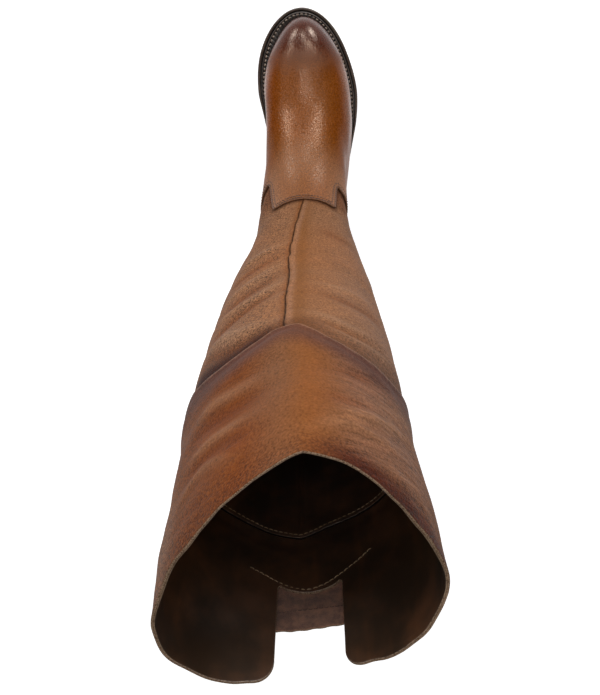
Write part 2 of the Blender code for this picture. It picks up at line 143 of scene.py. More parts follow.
GIRTH = (
    # front z, heel, waist, instep, tread, ball, centre share, fold y, bow y
    (18.3, 28.8, 28.2, 32.4, 37.9, 39.2, 1.0, 0.0, 0.0),
    (27.0, 30.6, 30.2, 34.6, 39.2, 40.4, 1.0, 0.0, 0.0),
    (41.0, 31.6, 31.4, 35.6, 39.3, 40.4, 1.0, -0.1, 0.0),
    (51.5, 32.0, 32.2, 36.0, 39.1, 40.0, 0.9, 0.1, 0.8),
    (60.5, 31.8, 32.4, 35.8, 38.7, 39.8, 0.8, 0.4, 2.3),
    (70.0, 31.2, 32.8, 36.0, 38.8, 39.8, 0.6, 1.0, 4.2),
    (81.5, 31.6, 35.2, 39.0, 41.0, 42.0, 0.4, 1.5, 4.0),
    (97.0, 32.8, 38.3, 41.8, 43.0, 43.6, 0.2, 1.9, 3.5),
    (114.0, 34.0, 40.8, 43.4, 43.4, 43.4, 0.1, 2.5, 2.4),
    (131.0, 37.2, 45.4, 46.4, 46.4, 46.4, 0.0, 2.9, 1.1),
    (160.0, 44.5, 52.0, 52.0, 52.0, 52.0, 0.0, 3.6, 1.6),
    (205.0, 55.0, 60.0, 60.0, 60.0, 60.0, 0.0, 4.4, 2.9),
    (252.0, 61.0, 63.2, 63.2, 63.2, 63.2, 0.0, 4.8, 3.2),
    (300.0, 64.5, 65.0, 65.0, 65.0, 65.0, 0.0, 5.0, 3.0),
    (350.0, 65.6, 65.6, 65.6, 65.6, 65.6, 0.0, 5.0, 3.0),
    (403.0, 67.1, 67.1, 67.1, 67.1, 67.1, 0.0, 4.5, 3.5),
    (450.0, 69.5, 69.5, 69.5, 69.5, 69.5, 0.0, 2.5, 3.6),
    (490.0, 72.4, 72.4, 72.4, 72.4, 72.4, 0.0, 1.2, 3.6),
    (523.0, 71.9, 71.9, 71.9, 71.9, 71.9, 0.0, 0.8, 3.0),
    (530.0, 71.8, 71.8, 71.8, 71.8, 71.8, 0.0, 0.7, 2.9),
)
GIRTH_STATIONS = (30.0, 85.0, 140.0, 177.0, 205.0)
FOOT_SAG_TOP = 119.0

# Cut lines and seams. "Across" is the distance from the front line, positive to the inner side.
TAB_EDGE = (
    # across, level
    (110.0, 93.0),
    (75.0, 92.5),
    (58.0, 93.4),
    (50.0, 94.6),
    (44.8, 95.4),
    (42.6, 96.2),
    (41.0, 97.6),
    (39.6, 99.4),
    (36.3, 108.0),
    (33.9, 116.7),
    (31.6, 124.6),
    (30.4, 127.0),
    (28.2, 128.4),
    (22.0, 128.9),
    (0.0, 129.5),
    (-22.0, 128.4),
    (-27.6, 127.7),
    (-29.6, 126.4),
    (-30.4, 123.4),
    (-30.9, 117.0),
    (-31.7, 108.5),
    (-32.8, 104.6),
    (-34.4, 103.2),
    (-37.5, 102.9),
    (-44.6, 101.4),
    (-60.0, 97.6),
    (-80.0, 94.5),
    (-110.0, 93.0),
)
FRONT_SEAM = (
    # level, across
    (110.0, 0.4),
    (129.0, 1.0),
    (136.0, 1.8),
    (149.0, 3.3),
    (167.0, 5.2),
    (191.0, 7.0),
    (204.0, 7.1),
    (217.0, 8.3),
    (250.0, 8.7),
    (272.0, 7.3),
    (308.0, 7.6),
    (350.0, 7.9),
    (373.0, 7.4),
    (396.0, 7.5),
    (420.0, 7.5),
)
KNEE_EDGE = (
    # turn, level
    (0.000, 391.0),
    (0.012, 389.5),
    (0.043, 384.6),
    (0.070, 379.0),
    (0.103, 374.4),
    (0.150, 372.4),
    (0.220, 372.6),
    (0.292, 377.0),
    (0.319, 379.5),
    (0.347, 388.0),
    (0.392, 398.0),
    (0.425, 401.8),
    (0.450, 401.2),
    (0.472, 397.4),
    (0.500, 397.2),
    (0.515, 404.0),
    (0.538, 411.6),
    (0.562, 413.8),
    (0.600, 411.5),
    (0.644, 405.6),
    (0.695, 391.0),
    (0.750, 383.0),
    (0.800, 379.0),
    (0.871, 378.4),
    (0.919, 380.0),
    (0.960, 383.4),
    (0.985, 388.4),
    (1.000, 391.0),
)
RIM = (
    # turn, level
    (0.030, 524.0),
    (0.080, 525.4),
    (0.140, 523.2),
    (0.230, 520.8),
    (0.290, 520.8),
    (0.350, 522.6),
    (0.440, 522.8),
    (0.475, 523.4),
    (0.500, 524.4),
    (0.525, 523.4),
    (0.560, 522.6),
    (0.600, 522.4),
    (0.640, 520.6),
    (0.690, 518.0),
    (0.730, 516.2),
    (0.800, 522.0),
    (0.850, 524.8),
    (0.890, 524.0),
    (0.915, 522.0),
    (0.945, 520.8),
    (0.970, 520.6),
)
NOTCH_INNER_Y = 17.6
NOTCH_OUTER_Y = -20.2
NOTCH_CORNER_Z = 437.0
NOTCH_CENTRE_Z = 443.5
FLAP_CORNER = 11.0
TAB_SEAM = (
    # y, z: where the reinforcing tab is sewn on, inside the leg
    (34.0, 424.0),
    (26.0, 428.5),
    (18.0, 434.0),
    (9.0, 439.0),
    (0.0, 441.3),
    (-10.0, 438.5),
    (-20.0, 432.5),
    (-29.0, 427.0),
    (-37.0, 422.0),
)

# Folds of the leather: places as (level, across), height and half width.
SHAFT_FOLDS = (
    (((213.5, 60.0), (213.0, 46.0), (212.0, 31.5), (210.5, 12.0)), 0.9, 6.0),
    (((236.0, 62.0), (239.0, 46.0), (238.0, 31.0), (231.0, 12.0)), -0.7, 6.5),
    (((262.0, 66.0), (266.0, 50.0), (265.0, 36.0), (252.0, 11.0)), 1.0, 6.0),
    (((280.0, 68.0), (287.0, 50.0), (285.0, 34.0), (275.0, 12.0)), -0.8, 6.5),
    (((296.0, 66.0), (305.0, 48.0), (307.0, 34.0), (297.0, 11.0)), 1.1, 6.0),
    (((318.0, 72.0), (325.0, 54.0), (323.0, 38.0), (315.0, 12.0)), -1.0, 6.5),
    (((340.0, 74.0), (352.0, 54.0), (366.0, 38.0), (378.0, 13.0)), 1.0, 7.0),
    (((358.0, 76.0), (366.0, 60.0), (383.0, 42.0), (391.0, 18.0)), -0.7, 6.0),
    (((180.0, -14.0), (184.0, -26.0), (182.0, -44.0)), -0.5, 7.0),
    (((307.0, -10.0), (309.0, -24.0), (306.0, -36.0), (298.0, -54.0)), 0.6, 6.0),
    (((328.0, -10.0), (334.0, -26.0), (330.0, -46.0), (318.0, -64.0)), -0.6, 6.5),
    (((366.0, -4.0), (374.0, -16.0), (379.0, -32.0), (372.0, -52.0)), 0.6, 5.0),
    (((383.0, -12.0), (386.0, -30.0), (380.0, -52.0)), -0.5, 5.0),
    (((392.0, -14.0), (396.0, -30.0), (388.0, -52.0), (374.0, -72.0)), 0.5, 4.5),
    (((150.0, 110.0), (152.0, 128.0), (149.0, 150.0)), -1.1, 6.0),
    (((166.0, 112.0), (169.0, 130.0), (166.0, 152.0)), 0.9, 7.0),
    (((151.0, -108.0), (154.0, -126.0), (150.0, -150.0)), -1.0, 6.0),
    (((168.0, -110.0), (171.0, -128.0), (168.0, -150.0)), 0.8, 7.0),
    (((330.0, 150.0), (336.0, 172.0), (330.0, 196.0)), -0.8, 7.0),
    (((332.0, -150.0), (338.0, -172.0), (330.0, -196.0)), -0.8, 7.0),
)
KNEE_FOLDS = (
    (((506.0, -4.0), (498.0, -14.0), (493.0, -27.0), (489.0, -42.0), (481.0, -62.0)), 0.7, 4.0),
    (((490.0, -14.0), (485.0, -24.0), (476.0, -38.0), (464.0, -57.0), (446.0, -86.0)), 0.8, 4.5),
    (((478.0, -10.0), (470.0, -28.0), (456.0, -46.0), (438.0, -70.0)), -0.6, 4.5),
    (((470.0, -24.0), (459.0, -41.0), (445.0, -61.0), (430.0, -80.0)), 0.7, 4.5),
    (((516.0, -30.0), (511.0, -42.0), (506.0, -55.0), (499.0, -74.0)), 0.5, 4.0),
    (((448.0, -16.0), (438.0, -34.0), (426.0, -56.0)), -0.5, 5.0),
    (((458.0, 80.0), (463.0, 62.0), (470.0, 43.0), (477.0, 24.0)), 0.8, 5.0),
    (((470.0, 84.0), (474.0, 64.0), (484.0, 42.0), (494.0, 22.0)), -0.6, 5.5),
    (((483.0, 90.0), (480.0, 70.0), (485.0, 54.0), (498.0, 36.0)), 0.7, 5.0),
    (((440.0, 82.0), (446.0, 60.0), (456.0, 38.0), (462.0, 18.0)), -0.7, 6.0),
    (((424.0, 78.0), (430.0, 58.0), (440.0, 38.0), (446.0, 16.0)), 0.7, 5.5),
    (((500.0, 96.0), (503.0, 76.0), (508.0, 56.0)), -0.4, 4.5),
)

# Where the foot is polished brightest: places as (x, y) and half width.
POLISH = (
    (((221.0, 7.0), (212.0, 4.0)), 6.0),
    (((219.0, 25.0), (206.0, 22.0), (195.0, 19.0), (184.0, 17.5), (174.0, 16.0), (166.0, 14.5)), 5.5),
    (((208.0, 1.0), (203.0, -2.5), (196.0, -5.0), (184.0, -7.5), (172.0, -8.0), (165.0, -7.5)), 8.0),
)


# ------------------------------------------------------------------ curves
def smooth(xs: Sequence[float], ys: Sequence[float], at: Array | float) -> Array:
    """Reads a monotone cubic curve.

    Args:
        xs: Places of the curve's points, rising.
        ys: Values there.
        at: Places to read.

    Returns:
        The curve's values.
    """
    xs, ys = np.asarray(xs, float), np.asarray(ys, float)
    at = np.clip(np.asarray(at, float), xs[0], xs[-1])
    step = np.diff(xs)
    slope = np.diff(ys) / step
    tangent = np.zeros_like(ys)
    tangent[0], tangent[-1] = slope[0], slope[-1]
    for i in range(1, len(xs) - 1):
        if slope[i - 1] * slope[i] > 0:
            near, far = 2 * step[i] + step[i - 1], step[i] + 2 * step[i - 1]
            tangent[i] = (near + far) / (near / slope[i - 1] + far / slope[i])
    span = np.clip(np.searchsorted(xs, at, side="right") - 1, 0, len(xs) - 2)
    t = (at - xs[span]) / step[span]
    return (
        ys[span] * (1 + 2 * t) * (1 - t) ** 2
        + tangent[span] * step[span] * t * (1 - t) ** 2
        + ys[span + 1] * t**2 * (3 - 2 * t)
        - tangent[span + 1] * step[span] * t**2 * (1 - t)
    )


def read(table: Sequence[Sequence[float]], column: int, at: Array | float) -> Array:
    """Reads one column of a table along its first column."""
    rows = np.array(table)
    return smooth(rows[:, 0], rows[:, column], at)


def closing(distance: Array, length: float, power: float) -> Array:
    """Rounds an end: 0 at the end itself, 1 from the given length onwards."""
    inside = 1 - np.clip(np.asarray(distance, float) / length, 0, 1)
    return (1 - inside**power) ** (1 / power)


def ease(low: float, high: float, value: Array | float) -> Array:
    """Rises smoothly from 0 at low to 1 at high."""
    t = np.clip((np.asarray(value, float) - low) / (high - low), 0, 1)
    return t * t * (3 - 2 * t)


def bell(value: Array, width: float) -> Array:
    """A bell curve, 1 at nought."""
    return np.exp(-((value / width) ** 2))


def stations(start: float, end: float, count: int) -> Array:
    """Places along x from start to end, close together at both ends."""
    turn = np.linspace(0, math.pi, count)
    return start + (end - start) * (1 - np.cos(turn)) / 2


def sole_height(x: Array) -> Array:
    """Height of the outsole's underside."""
    return read(SOLE_LINE, 1, x)


def unwound(turns: Array) -> Array:
    """Brings differences of turns within half a turn."""
    return np.mod(turns + 0.5, 1.0) - 0.5


def place(points: Array) -> Array:
    """Millimetres from the back of the outsole to metres from the heel's centre."""
    return (np.asarray(points, float) - (HEEL_CENTRE, 0.0, 0.0)) / 1000.0


def ripple(points: Array, seed: int, wavelength: float, waves: int = 9) -> Array:
    """Soft unevenness, a sum of plane waves of about one wavelength.

    Args:
        points: Places in millimetres.
        seed: Chooses the waves.
        wavelength: Their mean length in millimetres.
        waves: How many are added.

    Returns:
        Values of about -1 to 1.
    """
    draw = np.random.default_rng(seed)
    total = np.zeros(len(points))
    for _ in range(waves):
        direction = draw.normal(size=3)
        direction *= 2 * math.pi / (np.linalg.norm(direction) * wavelength * draw.uniform(0.7, 1.5))
        total += np.sin(points @ direction + draw.uniform(0, 2 * math.pi))
    return total * math.sqrt(2.0 / waves) / 1.6


def fold_field(
    folds: Sequence[tuple[Sequence[tuple[float, float]], float, float]], levels: Array, across: Array,
) -> Array:
    """Adds soft ridges and troughs drawn as strokes on the flattened leather.

    Args:
        folds: Each stroke's points as (level, across), its height and its half width.
        levels: Levels to read.
        across: Distances from the front line to read.

    Returns:
        Height over the plain surface in millimetres.
    """
    total = np.zeros(len(levels))
    for points, height, width in folds:
        knots = np.array(points)
        order = np.linspace(0, len(knots) - 1, 28)
        path = np.stack([smooth(np.arange(len(knots)), knots[:, k], order) for k in (0, 1)], axis=1)
        low, high = path.min(axis=0) - 3 * width, path.max(axis=0) + 3 * width
        near = np.nonzero((levels > low[0]) & (levels < high[0]) & (across > low[1]) & (across < high[1]))[0]
        if not len(near):
            continue
        gap = np.hypot(levels[near, None] - path[None, :, 0], across[near, None] - path[None, :, 1])
        best = gap.argmin(axis=1)
        share = order[best] / (len(knots) - 1)
        fade = np.sin(math.pi * np.clip(share, 0.04, 0.96)) ** 0.7
        total[near] += height * fade * bell(gap.min(axis=1), width)
    return total


# ------------------------------------------------------------------ surface of the leg
class LegSurface:
    """The leather's outer face from the welt to the collar, as a dense grid of places."""

    STEP = 1.2
    AROUND = 720
    LOOP_STATIONS = 1201
    SOFTENING = 3.5

    def __init__(self) -> None:
        """Lays out the grid, softens it along the leg and finds its normals."""
        trial = np.linspace(PROFILE[0][0], PROFILE[-1][0], 1500)
        front_x = read(PROFILE, 1, trial)
        length = np.concatenate([[0], np.cumsum(np.hypot(np.diff(front_x), np.diff(trial)))])
        places = np.linspace(0, length[-1], int(length[-1] / self.STEP) + 1)
        self.levels: Array = np.interp(places, length, trial)
        self.lengths: Array = places
        grid = np.array([self._even_loop(level) for level in self.levels])
        self.grid: Array = self._soften(grid)
        upward = np.gradient(self.grid, axis=0)
        around = np.roll(self.grid, -1, axis=1) - np.roll(self.grid, 1, axis=1)
        normals = np.cross(upward, around)
        self.normals: Array = normals / np.linalg.norm(normals, axis=2, keepdims=True)
        sides = np.linalg.norm(np.roll(self.grid, -1, axis=1) - self.grid, axis=2)
        self.girths: Array = sides.sum(axis=1)

    def _loop(self, level: float) -> Array:
        """One closed loop at a level, from the back round the inner side."""
        front_x, back_x, back_z, nose, nose_power, inner_tail, outer_tail, tail_power, twist = (
            float(read(PROFILE, column, level)) for column in range(1, 10)
        )
        half_widths = [float(read(GIRTH, column, level)) for column in range(1, 6)]
        centre_share, fold, bow = (float(read(GIRTH, column, level)) for column in range(6, 9))
        x = stations(back_x, front_x, self.LOOP_STATIONS)
        along = (x - back_x) / (front_x - back_x)
        half = smooth(GIRTH_STATIONS, half_widths, x) * closing(front_x - x, nose, nose_power)
        inner_half = half * closing(x - back_x, inner_tail, tail_power)
        outer_half = half * closing(x - back_x, outer_tail, tail_power)
        middle = centre_share * read(OUTSOLE_PLAN, 1, x) + fold + bow * np.sin(math.pi * along)
        toe = ease(205.0, 252.0, x) * (1 - ease(56.0, 84.0, level))
        inner_half, middle = inner_half * (1 - 0.055 * toe), middle - 1.0 * toe
        sole = sole_height(x)
        sag = sole - (sole[0] + (sole[-1] - sole[0]) * along)
        share = np.clip(1 - (level - FOOT_LEVEL) / (FOOT_SAG_TOP - FOOT_LEVEL), 0, 1) ** 2
        z = back_z + (level - back_z) * along + sag * share
        inner = np.stack([x - twist * inner_half, middle + inner_half, z], axis=1)
        outer = np.stack([x + twist * outer_half, middle - outer_half, z], axis=1)
        return np.vstack([inner, outer[-2:0:-1]])

    def _even_loop(self, level: float) -> Array:
        """The loop with its points evenly spaced along each half."""
        loop = self._loop(level)
        middle = len(loop) // 2
        halves = []
        for part in (loop[: middle + 1], np.vstack([loop[middle:], loop[:1]])):
            run = np.linalg.norm(np.diff(part, axis=0), axis=1)
            run = np.concatenate([[0], np.cumsum(run)])
            at = np.linspace(0, run[-1], self.AROUND // 2 + 1)
            halves.append(np.stack([np.interp(at, run, part[:, k]) for k in range(3)], axis=1)[:-1])
        return np.vstack(halves)

    def _soften(self, values: Array) -> Array:
        """Blurs the grid along the leg, keeping its two ends in place."""
        reach = int(3 * self.SOFTENING / self.STEP) + 1
        kernel = bell(np.arange(-reach, reach + 1) * self.STEP, self.SOFTENING * math.sqrt(2))
        kernel /= kernel.sum()
        head = 2 * values[:1] - values[reach:0:-1]
        tail = 2 * values[-1:] - values[-2 : -reach - 2 : -1]
        longer = np.concatenate([head, values, tail])
        return sum(w * longer[i : i + len(values)] for i, w in enumerate(kernel))

    def _sample(self, table: Array, turns: Array, levels: Array) -> Array:
        """Reads a grid of values between its points."""
        row = np.interp(levels, self.levels, np.arange(len(self.levels)))
        low = np.minimum(row.astype(int), len(self.levels) - 2)
        up = (row - low)[:, None]
        column = np.mod(turns, 1.0) * self.AROUND
        left = np.floor(column).astype(int)
        on = (column - left)[:, None]
        left, right = left % self.AROUND, (left + 1) % self.AROUND
        near = table[low, left] * (1 - on) + table[low, right] * on
        far = table[low + 1, left] * (1 - on) + table[low + 1, right] * on
        return near * (1 - up) + far * up

    def points(self, spots: Array) -> Array:
        """Places on the surface of (turn, level) spots, in millimetres."""
        return self._sample(self.grid, spots[:, 0], spots[:, 1])

    def outwards(self, spots: Array) -> Array:
        """Unit normals at these spots, pointing out of the leg."""
        found = self._sample(self.normals, spots[:, 0], spots[:, 1])
        return found / np.linalg.norm(found, axis=1, keepdims=True)

    def girth(self, levels: Array | float) -> Array:
        """Distance round the leg at these levels."""
        return np.interp(levels, self.levels, self.girths)

    def across(self, spots: Array) -> Array:
        """Distance of spots from the front line, positive to the inner side."""
        return (0.5 - np.mod(spots[:, 0], 1.0)) * self.girth(spots[:, 1])

    def run(self, levels: Array | float) -> Array:
        """Distance along the front line from the welt to these levels."""
        return np.interp(levels, self.levels, self.lengths)

    def flow(self, spots: Array) -> Array:
        """Coordinates along and across the fine creases, which climb towards the front line."""
        aside = self.across(spots)
        run = self.run(spots[:, 1])
        return np.stack([np.abs(aside) - 0.4 * run, run + 0.4 * np.abs(aside), 30.0 * np.sign(aside)], axis=1)

    def spots_across(self, across: Array, levels: Array) -> Array:
        """Spots at these distances from the front line."""
        return np.stack([0.5 - across / self.girth(levels), levels], axis=1)

    def shifted(self, spots: Array, moves: Array, axes: tuple[int, ...] = (0, 1, 2)) -> Array:
        """Slides spots over the surface.

        Args:
            spots: Where they are.
            moves: How far each is to move, in millimetres.
            axes: The coordinates that the moves are given in.

        Returns:
            The spots after the move, to first order.
        """
        turn, level = 1e-3, 0.5
        du = self.points(spots + (turn, 0.0)) - self.points(spots - (turn, 0.0))
        dh = self.points(spots + (0.0, level)) - self.points(spots - (0.0, level))
        du, dh = du[:, axes] / (2 * turn), dh[:, axes] / (2 * level)
        e, f, g = (du * du).sum(1), (du * dh).sum(1), (dh * dh).sum(1)
        a, b = (du * moves).sum(1), (dh * moves).sum(1)
        scale = e * g - f * f
        return spots + np.stack([(g * a - f * b) / scale, (e * b - f * a) / scale], axis=1)

    def spots_behind(self, y: Array, z: Array) -> Array:
        """Spots on the back of the leg at these widths and heights."""
        spots = np.stack([-(y - 2.0) * -1.0 / self.girth(z), z + 15.0], axis=1)
        for _ in range(12):
            here = self.points(spots)[:, 1:]
            spots = self.shifted(spots, np.stack([y, z], axis=1) - here, axes=(1, 2))
        return spots


# ------------------------------------------------------------------ leather cut to a line
@dataclass
class CutLine:
    """A line that leather is cut or folded along, closed round the leg or on itself.

    Attributes:
        surface: The leg.
        spots: The line's (turn, level) points, with the leather on their left seen from outside.
        bands: Distances from the line of the loops beside it, the widest first, ending in 0.
    """

    surface: LegSurface
    spots: Array
    bands: tuple[float, ...] = (1.0, 0.55, 0.28, 0.1, 0.0)

    def __post_init__(self) -> None:
        """Finds the line's places in space."""
        self.places: Array = self.surface.points(self.spots)
        self.outward: Array = self.surface.outwards(self.spots)

    @classmethod
    def from_knots(cls, surface: LegSurface, knots: Array, pitch: float = 0.9, **rest) -> "CutLine":
        """Draws a line through knots and evens its points out.

        Args:
            surface: The leg.
            knots: The (turn, level) knots of the closed line.
            pitch: Distance between its points.
            **rest: Other attributes of the line.

        Returns:
            The line.
        """
        step = np.vstack([knots, knots[:1]])
        turns = np.concatenate([[0], np.cumsum(unwound(np.diff(step[:, 0])))]) + step[0, 0]
        loose = np.stack([turns, step[:, 1]], axis=1)
        for _ in range(2):
            places = surface.points(loose)
            run = np.linalg.norm(np.diff(places, axis=0), axis=1)
            run = np.concatenate([[0], np.cumsum(run)])
            at = np.linspace(0, run[-1], max(int(run[-1] / pitch), 8) + 1)
            loose = np.stack([np.interp(at, run, loose[:, k]) for k in (0, 1)], axis=1)
        return cls(surface, loose[:-1], **rest)

    def measure(self, spots: Array) -> tuple[Array, Array]:
        """Finds how far spots lie inside the line.

        Args:
            spots: The (turn, level) spots.

        Returns:
            The distance of each, positive on the leather's side, and the nearest spot of the line.
        """
        here = self.surface.points(spots)
        count = len(self.spots)
        nearest = np.empty(len(here), int)
        line_square = (self.places**2).sum(axis=1)
        for start in range(0, len(here), 4000):
            part = here[start : start + 4000]
            nearest[start : start + 4000] = (line_square - 2 * part @ self.places.T).argmin(axis=1)
        best = np.full(len(here), np.inf)
        sign = np.ones(len(here))
        foot = self.spots[nearest].copy()
        for a, b in (((nearest - 1) % count, nearest), (nearest, (nearest + 1) % count)):
            side = self.places[b] - self.places[a]
            t = ((here - self.places[a]) * side).sum(1) / np.maximum((side * side).sum(1), 1e-9)
            t = np.clip(t, 0, 1)[:, None]
            off = here - self.places[a] - side * t
            gap = np.linalg.norm(off, axis=1)
            turned = (np.cross(side, off) * self.outward[nearest]).sum(axis=1)
            better = gap < best
            step = self.spots[b] - self.spots[a]
            step[:, 0] = unwound(step[:, 0])
            foot[better] = (self.spots[a] + step * t)[better]
            sign[better] = np.where(turned < 0, -1.0, 1.0)[better]
            best = np.where(better, gap, best)
        return best * sign, foot

    def inset(self, distance: float) -> Array:
        """Spots that follow the line at a distance inside it, loops at tight corners left out."""
        spots = self.spots.copy()
        for _ in range(3):
            places = self.surface.points(spots)
            tangent = np.roll(places, -1, axis=0) - np.roll(places, 1, axis=0)
            inward = np.cross(self.surface.outwards(spots), tangent)
            inward /= np.maximum(np.linalg.norm(inward, axis=1, keepdims=True), 1e-9)
            spots = self.surface.shifted(spots, inward * distance / 3)
        depth, _ = self.measure(spots)
        return spots[depth > distance - 0.2]


@dataclass
class SheetShape:
    """How a piece of leather stands off the leg's surface, spot by spot.

    Attributes:
        stand: Height of its outer face over the surface, in millimetres.
        thickness: Its thickness there.
        tint: Linear colour of its outer face, with painted light and shade in places.
        grain: Share of the full pebble there.
        gloss: How polished it is there, from 0 to 1.
        drawn: Share of fine drawn creases there.
        raw: How much of a raw edge's colour its rim shows there.
    """

    stand: Array
    thickness: Array
    tint: Array
    grain: Array
    gloss: Array
    drawn: Array | float = 0.0
    raw: Array | float = 1.0


class LeatherSheet:
    """A closed solid piece of leather, cut from the leg's surface along its lines."""

    RIM_STEPS = 3

    def __init__(
        self, surface: LegSurface, turns: Array, levels: Array, lines: Sequence[CutLine], pitch: float,
        wraps: bool = True,
    ) -> None:
        """Lays a grid over the surface and trims it.

        Args:
            surface: The leg.
            turns: The grid's columns.
            levels: The grid's rows.
            lines: The lines that it is cut along.
            pitch: About how far its points are apart, in millimetres.
            wraps: Whether its last column joins its first.
        """
        self.surface, self.lines, self.pitch = surface, list(lines), pitch
        shape = (len(levels), len(turns))
        spots = np.stack(np.meshgrid(turns, levels), axis=2).reshape(-1, 2)
        margin, foot, line_of = self._margins(spots)
        held = self._widths()[line_of]
        close = (np.abs(margin) < 0.3 * pitch) & (margin + held > 0.15)
        spots[close] = self._slid(spots[close], foot[close], (held / (margin + held))[close])
        margin[close] = 0.0
        self._trim(shape, spots, margin, line_of, wraps)
        self._edge()
        self.depths: list[Array] = [line.measure(self.spots)[0] for line in self.lines]

    def _widths(self) -> Array:
        """Width of the band beside each line."""
        return np.array([line.bands[0] for line in self.lines] or [0.0])

    @staticmethod
    def _slid(spots: Array, foot: Array, share: Array) -> Array:
        """Moves spots along the way from their foot on a line."""
        step = spots - foot
        step[:, 0] = unwound(step[:, 0])
        return foot + step * share[:, None]

    def _margins(self, spots: Array) -> tuple[Array, Array, Array]:
        """Distance of spots past the band of their nearest line, their foot on it and its number."""
        margin = np.full(len(spots), np.inf)
        foot, line_of = spots.copy(), np.zeros(len(spots), int)
        for number, line in enumerate(self.lines):
            depth, near = line.measure(spots)
            past = depth - line.bands[0]
            less = past < margin
            margin[less], foot[less], line_of[less] = past[less], near[less], number
        return margin, foot, line_of

    def _trim(self, shape: tuple[int, int], spots: Array, margin: Array, line_of: Array, wraps: bool) -> None:
        """Keeps the cells inside the bands and clips those that a band's edge crosses."""
        rows, columns = shape
        index = np.arange(rows * columns).reshape(shape)
        if wraps:
            index = np.concatenate([index, index[:, :1]], axis=1)
        cells = np.stack([index[:-1, :-1], index[1:, :-1], index[1:, 1:], index[:-1, 1:]], axis=2)
        cells = cells.reshape(-1, 4)
        values = margin[cells]
        some = (values > 0).any(axis=1)
        whole = cells[some & (values >= 0).all(axis=1)]
        mixed = cells[some & (values < 0).any(axis=1)]
        crossings: dict[tuple[int, int], int] = {}
        faces: list[tuple[int, ...]] = [tuple(cell) for cell in whole.tolist()]
        for cell in mixed.tolist():
            face: list[int] = []
            for a, b in zip(cell, cell[1:] + cell[:1]):
                if margin[a] >= 0:
                    face.append(a)
                if margin[a] * margin[b] < 0:
                    key = (min(a, b), max(a, b))
                    face.append(crossings.setdefault(key, len(spots) + len(crossings)))
            if len(face) > 2:
                faces.append(tuple(face))
        if crossings:
            pairs = np.array(list(crossings))
            a, b = pairs[:, 0], pairs[:, 1]
            share = margin[a] / (margin[a] - margin[b])
            step = spots[b] - spots[a]
            step[:, 0] = unwound(step[:, 0])
            extra = spots[a] + step * share[:, None]
            past, foot, line = self._margins(extra)
            held = self._widths()[line]
            extra = self._slid(extra, foot, held / np.maximum(past + held, 0.1))
            spots = np.vstack([spots, extra])
            line_of = np.concatenate([line_of, line])
            margin = np.concatenate([margin, np.zeros(len(extra))])
        used = np.unique(np.fromiter((v for face in faces for v in face), int))
        fresh = np.full(len(spots), -1)
        fresh[used] = np.arange(len(used))
        self.faces = [tuple(int(fresh[v]) for v in face) for face in faces]
        self.spots = spots[used]
        self.on_band = margin[used] == 0
        self.line_of = line_of[used]
        self.band_depth = np.full(len(used), np.inf)

    @staticmethod
    def _open_sides(faces: Sequence[tuple[int, ...]]) -> list[tuple[int, int]]:
        """Sides that only one face has, in that face's direction."""
        sides = {(a, b) for face in faces for a, b in zip(face, face[1:] + face[:1])}
        return [side for side in sides if (side[1], side[0]) not in sides]

    def _edge(self) -> None:
        """Adds the bands of narrow faces between the trimmed grid and its cut lines."""
        sides = sorted(
            (a, b)
            for a, b in self._open_sides(self.faces)
            if self.on_band[a] and self.on_band[b] and self.lines
        )
        ends = sorted({v for side in sides for v in side})
        if not ends:
            self.rim_sides = sorted(self._open_sides(self.faces))
            return
        here = self.spots[ends]
        _, foot, line = self._margins(here)
        chains: dict[int, list[int]] = {v: [v] for v in ends}
        steps = max(len(item.bands) for item in self.lines)
        bands = np.array([item.bands for item in self.lines])
        self.band_depth[ends] = bands[line, 0]
        for k in range(1, steps):
            share = bands[line, k] / bands[line, 0]
            first = len(self.spots)
            self.spots = np.vstack([self.spots, self._slid(here.copy(), foot, share)])
            self.band_depth = np.concatenate([self.band_depth, bands[line, k]])
            for order, v in enumerate(ends):
                chains[v].append(first + order)
        for a, b in sides:
            for k in range(steps - 1):
                face = (chains[b][k], chains[a][k], chains[a][k + 1], chains[b][k + 1])
                self.faces.append(face)
        self.rim_sides = sorted(self._open_sides(self.faces))

    def solid(self, name: str, shape: SheetShape, rounding: tuple[float, float]) -> Object:
        """Makes the closed mesh: outer face, inner face and the rims between them.

        Args:
            name: The piece's name.
            shape: How it stands at each of the sheet's spots.
            rounding: Radii of its edge on the outer and the inner side.

        Returns:
            The object, with its tones, its finish and its flow stored on its points.
        """
        count = len(self.spots)
        base, normal = self.surface.points(self.spots), self.surface.outwards(self.spots)
        drops = [self._drop(radius) for radius in rounding]
        outer = shape.stand - drops[0]
        inner = shape.stand - shape.thickness + drops[1]
        ends = sorted({v for side in self.rim_sides for v in side})
        layers, heights, owners = [], [], []
        for k in range(1, self.RIM_STEPS):
            share = k / self.RIM_STEPS
            layers.append(np.full(len(ends), share))
            heights.append((outer * (1 - share) + inner * share)[ends])
            owners.append(np.array(ends, int))
        owner = np.concatenate([np.arange(count), np.arange(count), *owners])
        height = np.concatenate([outer, inner, *heights])
        layer = np.concatenate([np.zeros(count), np.ones(count), *layers])
        points = base[owner] + normal[owner] * height[:, None]
        seat = {v: order for order, v in enumerate(ends)}

        def chain(v: int) -> list[int]:
            middle = [2 * count + k * len(ends) + seat[v] for k in range(self.RIM_STEPS - 1)]
            return [v, *middle, count + v]

